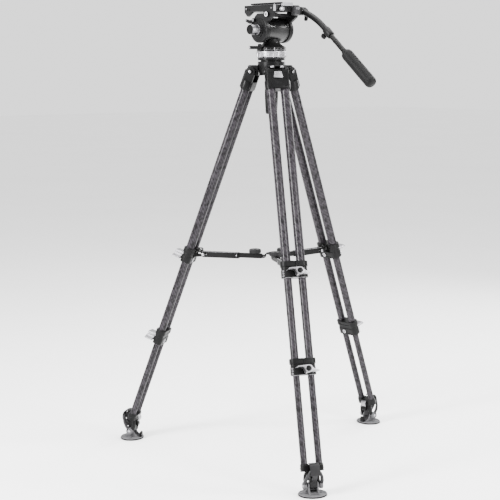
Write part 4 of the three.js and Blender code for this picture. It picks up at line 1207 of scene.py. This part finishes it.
def quick_plate():
    """Sliding camera plate: dovetail, slotted deck, end stop, and two camera screws in the slot."""
    make = on("plate")
    slot = ribbon([(0, -50), (0, 50)], 6.8)
    dovetail = [(-22.6, 1547.6), (22.6, 1547.6), (20.4, 1556.4), (-20.4, 1556.4)]
    base = cut(eased(side_plate(dovetail, -75.6, 75.6), 0.6), [prism(slot, 1540, 1570)])
    deck = eased_block((-23, 23), (-84.6, 84.8), (1556.2, 1561.2), 0.9)
    deck = cut(deck, [prism(slot, 1540, 1570), prism(ribbon([(0, -54), (0, 54)], 12.0), 1559.6, 1570)])
    make("plate_deck", BLACK, [base, deck], ["quick_plate"])
    stop = eased_block((-22.8, 22.8), (-84.9, -77.2), (1549.2, 1561.6), 1.2)
    make("plate_end_stop", PALE_GREY, [stop])
    pads = []
    for side in (-1, 1):
        x = span(side, 8.4, 20.6)
        pads.append(cut(eased_block(x, (-73, 73), (1560.6, 1562.0), 0.4, 1),
                        [block((-30, 30), (y - 0.5, y + 0.5), (1561.5, 1563)) for y in range(-66, 70, 6)]))
    make("plate_pads", RUBBER, pads)
    screws = [moved(screw(5.6, 1.9), shift(0, y, 1559.7)) for y in (-14, 26)]
    make("plate_screws", STEEL, screws)
    graded = [moved(block((22.65, 23.0), (y - 0.3, y + 0.3), (1557.2, 1560.2)), turn(half_turn, "Z"))
              for half_turn in (0, 180) for y in range(-60, 61, 5)]
    make("plate_scale", PALE_GREY, graded)


def plate_lock():
    """The knurled knob that holds the quick plate."""
    along = WORLD @ pointing((0, -1, 0), (-27, 0, 1538))
    knob = turned([(0, 76.4), (3.9, 76.4), (3.9, 80.4), (6.8, 81.2), (6.95, 82), (6.95, 90.6), (5.6, 92.8),
                   (0, 93.2)], 72, knurled(18, 0.07, 81.6, 91))
    piece("plate_lock_body", "plate_lock", SILVER, along, [knob],
          ["plate_lock_knob"])


cheek_arms()
housing()
platform()
bubble_level()
counterbalance()
tilt_lock()
quick_plate()
plate_lock()

# ---- pan handle ----

HANDLE_X = 69.2
ROSETTE = (-80.0, 1533.0)
BEND = (-145.0, 1512.1)
STRAIGHT = (-190.0, 1476.2)
SLOPE = math.radians(38.6)
GRIP_START = 133.0
GRIP_END = 297.0
DOWN_HANDLE = pointing((0, -math.cos(SLOPE), -math.sin(SLOPE)), (HANDLE_X, *STRAIGHT))


def handle_arm():
    """Bent arm from the rosette to the clamp collar."""
    on_handle = on("handle")
    points = []
    for t in [i / 24 for i in range(25)]:
        points.append((HANDLE_X,) + tuple(
            (1 - t) ** 2 * a + 2 * t * (1 - t) * b + t * t * c for a, b, c in zip(ROSETTE, BEND, STRAIGHT)))
    ahead = DOWN_HANDLE.to_3x3() @ Vector((0, 0, 1))
    points += [tuple(Vector(points[-1]) + ahead * step) for step in (3, 6, 9, 11)]
    bar = sweep(points, 10.4, 32)
    bar = cut(bar, [moved(rod("z", 9.2, (-18, 60), (0, 0), 32, 0.01), DOWN_HANDLE)])
    hub = turned([(0, 0.7), (13.4, 0.7), (13.9, 1.4), (13.9, 5.4), (13.0, 6.2), (13.0, 7.2), (13.9, 8.0),
                  (13.9, 20.6), (12.9, 21.8), (0, 21.8)], 96, knurled(32, 0.04, 0.0, 5.8))
    hub = moved(hub, pointing((1, 0, 0), (58, *ROSETTE)))
    on_handle("handle_tube", BLACK, [bar, hub], ["handle_arm"])
    teeth = [moved(block((8.6, 13.2), (-0.5, 0.5), (0.4, 1.2)), turn(15 * i, "Z"),
                   pointing((1, 0, 0), (57.9, *ROSETTE))) for i in range(24)]
    on_handle("handle_rosette_teeth", STEEL, teeth)
    sleeve = turned([(9.35, 10.2), (11.6, 10.2), (13.2, 11.4), (13.9, 14.0), (13.9, 40.0), (13.2, 43.6),
                     (11.8, 45.6), (9.35, 45.6)], 64)
    sleeve = cut(sleeve, [block((-1.0, 1.0), (-20, 0), (18, 50)),
                          block((-20, 20), (-20, -8.8), (22, 23.4))])
    on_collar = on("handle", WORLD @ DOWN_HANDLE)
    on_collar("handle_collar", BLACK, [sleeve])
    band = turned([(13.95, 30), (13.95, 32.4), (12.6, 32.4), (12.6, 30)], 64)
    on_collar("handle_collar_band", GRAPHITE, [band])


def rosette_knob():
    """The locking lever at the handle's rosette."""
    make = on("rosette_knob")
    y, z = ROSETTE
    start = HANDLE_X + 11.5
    hub = turned([(0, 0), (9.6, 0), (9.9, 0.8), (9.9, 6.8), (8.6, 8.6), (5.6, 8.8), (4.8, 7.8), (0, 7.8)],
                 60, knurled(15, 0.03, 0.6, 7.0))
    arm = ribbon(smoothed([(y, z), (y + 0.6, z - 12), (y - 1.4, z - 22), (y, z - 26)], 6),
                 lambda t: 8.4 + 4.4 * t)
    arm = eased(cross_plate(arm, start + 1.2, start + 7.8), 1.4)
    make("rosette_handle", BLACK_PLASTIC, [moved(hub, pointing((1, 0, 0), (start, y, z))), arm],
         ["handle_rosette_knob"])
    make("rosette_screw", STEEL, [screw_at(3.6, 1.8, (1, 0, 0), (start + 6.9, y, z))])


def wing_knob():
    """Three-lobed knob under the collar."""
    def lobes(angle, radius, height):
        return 1.0 - 0.2 * (0.5 - 0.5 * math.cos(3 * angle)) if radius > 8 else 1.0

    under = DOWN_HANDLE @ shift(0, 0, 18) @ pointing((0, -1, 0))
    if (under.to_3x3() @ Vector((0, 0, 1))).z > 0:
        under = DOWN_HANDLE @ shift(0, 0, 18) @ pointing((0, 1, 0))
    body = turned([(0, 14.2), (4.8, 14.2), (4.8, 16.0), (9.4, 17.0), (10.8, 18.6), (10.9, 25.2),
                   (9.4, 28.4), (7.6, 29.0), (0, 29.0)], 72, lobes)
    make = on("wing_knob", WORLD @ under)
    make("wing_knob_body", BLACK_PLASTIC, [body], ["handle_wing_knob"])
    cap = turned([(0, 29.9), (4.4, 29.7), (5.6, 29.0), (5.6, 28.2), (0, 28.2)], 36)
    make("wing_knob_cap", PALE_GREY, [cap])


def extension():
    """The handle's sliding tube with its clip and stop."""
    tube = turned([(8.95, -15.6), (8.95, 160), (8.2, 160.6), (0, 160.6), (0, -15.9), (8.5, -15.9)], 48)
    make = on("extension", WORLD @ DOWN_HANDLE)
    make("extension_tube", BLACK_GLOSS, [tube], ["handle_extension"])
    clip = turned([(8.9, 71.5), (9.3, 71.5), (9.5, 72.0), (9.5, 73.4), (9.3, 73.9), (8.9, 73.9)], 48)
    make("extension_clip", BLACK_PLASTIC, [clip])
    stop = turned([(8.9, 126), (9.8, 126), (10.6, 127), (10.6, 133.4), (8.9, 133.4)], 48)
    make("extension_stop", BLACK_PLASTIC, [stop])


def grip():
    """Rubber grip: fine ribs round most of it, and a smooth panel along one side."""
    ribs = 46
    start, end = GRIP_START + 16, GRIP_END - 20
    pitch = (end - start) / ribs
    profile = [(0, GRIP_START + 0.3), (11.4, GRIP_START + 0.3), (14.4, GRIP_START + 1.6),
               (17.4, GRIP_START + 5), (19.2, GRIP_START + 10), (19.9, GRIP_START + 14)]
    for i in range(ribs):
        at = start + (end - start) * i / ribs
        profile += [(19.9, at), (19.9, at + pitch * 0.45), (19.45, at + pitch * 0.6),
                    (19.45, at + pitch * 0.85)]
    profile += [(19.9, end), (19.9, GRIP_END - 12), (18.8, GRIP_END - 7), (16.4, GRIP_END - 3),
                (12.6, GRIP_END - 0.6), (10.6, GRIP_END - 0.2), (0, GRIP_END - 0.2)]
    smooth_side = math.radians(228)

    def panel(angle, radius, height):
        smooth = math.cos(angle - smooth_side) > 0.42
        return 19.9 / radius if smooth and radius < 19.5 and start < height < end else 1.0

    body = turned(profile, 72, panel)
    make = on("extension", WORLD @ DOWN_HANDLE)
    make("grip_body", RUBBER, [body], ["handle_grip"])
    cap = turned([(0, GRIP_END - 0.05), (8.4, GRIP_END - 0.1), (10.0, GRIP_END - 0.8), (10.0, GRIP_END - 2),
                  (0, GRIP_END - 2)], 48)
    make("grip_cap", BLACK_PLASTIC, [cap])
    outward = math.radians(160)
    dot = screw_at(3.0, 0.9, (math.cos(outward), math.sin(outward), 0), (-18.2, 6.6, GRIP_END - 13))
    make("grip_screw", DARK, [dot])


handle_arm()
rosette_knob()
wing_knob()
extension()
grip()

# ---- floor, light and camera ----


FLOOR_REACH = 30.0
ROOM_LIGHT = 1.7
CAMERA_SIDE = math.radians(-40)
CAMERA_RANGE = 4.559
CAMERA_HEIGHT = 1.343
CAMERA_PITCH = 0.137
CAMERA_YAW = math.radians(0.922)
CAMERA_LENS = 95.1
TOWARD = Vector((math.sin(CAMERA_SIDE), -math.cos(CAMERA_SIDE), 0))     # from the tripod to the camera
LEFT = Vector((-math.cos(CAMERA_SIDE), -math.sin(CAMERA_SIDE), 0))
UP = Vector((0, 0, 1))
LIGHTS = (    # name; metres toward the camera, left and up; height aimed at; width and height; watts
    ("key", 1.9, 2.6, 2.3, 0.9, (0.7, 2.6), 380),
    ("fill", 2.2, -2.6, 1.5, 0.9, (0.6, 2.6), 170),
    ("top", 0.0, 0.0, 4.2, 0.9, (3.0, 3.0), 260),
    ("side", 0.0, -2.5, 3.1, 1.47, (0.5, 1.4), 120),
    ("rim", -2.4, -1.8, 2.4, 0.9, (1.2, 2.6), 120))


def floor():
    """A plain pale floor that reaches far behind the tripod."""
    n = Nodes("studio_floor")
    cloud = n.noise(0.8, 3.0)
    color = n.mix(n.ramp(cloud, 0.3, 0.7), grey(0.93), grey(0.96))
    material = n.finish(color, n.ramp(cloud, 0.3, 0.7, 0.7, 0.8))
    bm = empty_mesh()
    bm.faces.new([bm.verts.new((x * FLOOR_REACH, y * FLOOR_REACH, 0))
                  for x, y in ((-1, -1), (1, -1), (1, 1), (-1, 1))])
    mesh = bpy.data.meshes.new("studio_floor")
    bm.to_mesh(mesh)
    bm.free()
    mesh.materials.append(material)
    thing = bpy.data.objects.new("studio_floor", mesh)
    bpy.context.scene.collection.objects.link(thing)


def area_light(name, toward, left, up, aim, size, watts):
    data = bpy.data.lights.new(name, "AREA")
    data.shape = "RECTANGLE"
    data.size, data.size_y = size
    data.energy = watts
    lamp = bpy.data.objects.new(name, data)
    lamp.location = AXIS + TOWARD * toward + LEFT * left + UP * up
    lamp.rotation_euler = (AXIS + UP * aim - lamp.location).to_track_quat("-Z", "Y").to_euler()
    bpy.context.scene.collection.objects.link(lamp)


def studio():
    """An even pale room with large soft lights."""
    world = bpy.data.worlds.new("studio")
    world.use_nodes = True
    background = world.node_tree.nodes["Background"]
    background.inputs["Color"].default_value = (1.0, 1.0, 1.0, 1.0)
    background.inputs["Strength"].default_value = ROOM_LIGHT
    bpy.context.scene.world = world
    for light in LIGHTS:
        area_light(*light)


def camera():
    data = bpy.data.cameras.new("camera")
    data.lens = CAMERA_LENS
    data.sensor_width = 36.0
    eye = bpy.data.objects.new("camera", data)
    eye.location = AXIS + TOWARD * CAMERA_RANGE + UP * CAMERA_HEIGHT
    eye.rotation_euler = (math.pi / 2 - CAMERA_PITCH, 0, CAMERA_SIDE + CAMERA_YAW)
    bpy.context.scene.collection.objects.link(eye)
    bpy.context.scene.camera = eye


floor()
studio()
camera()
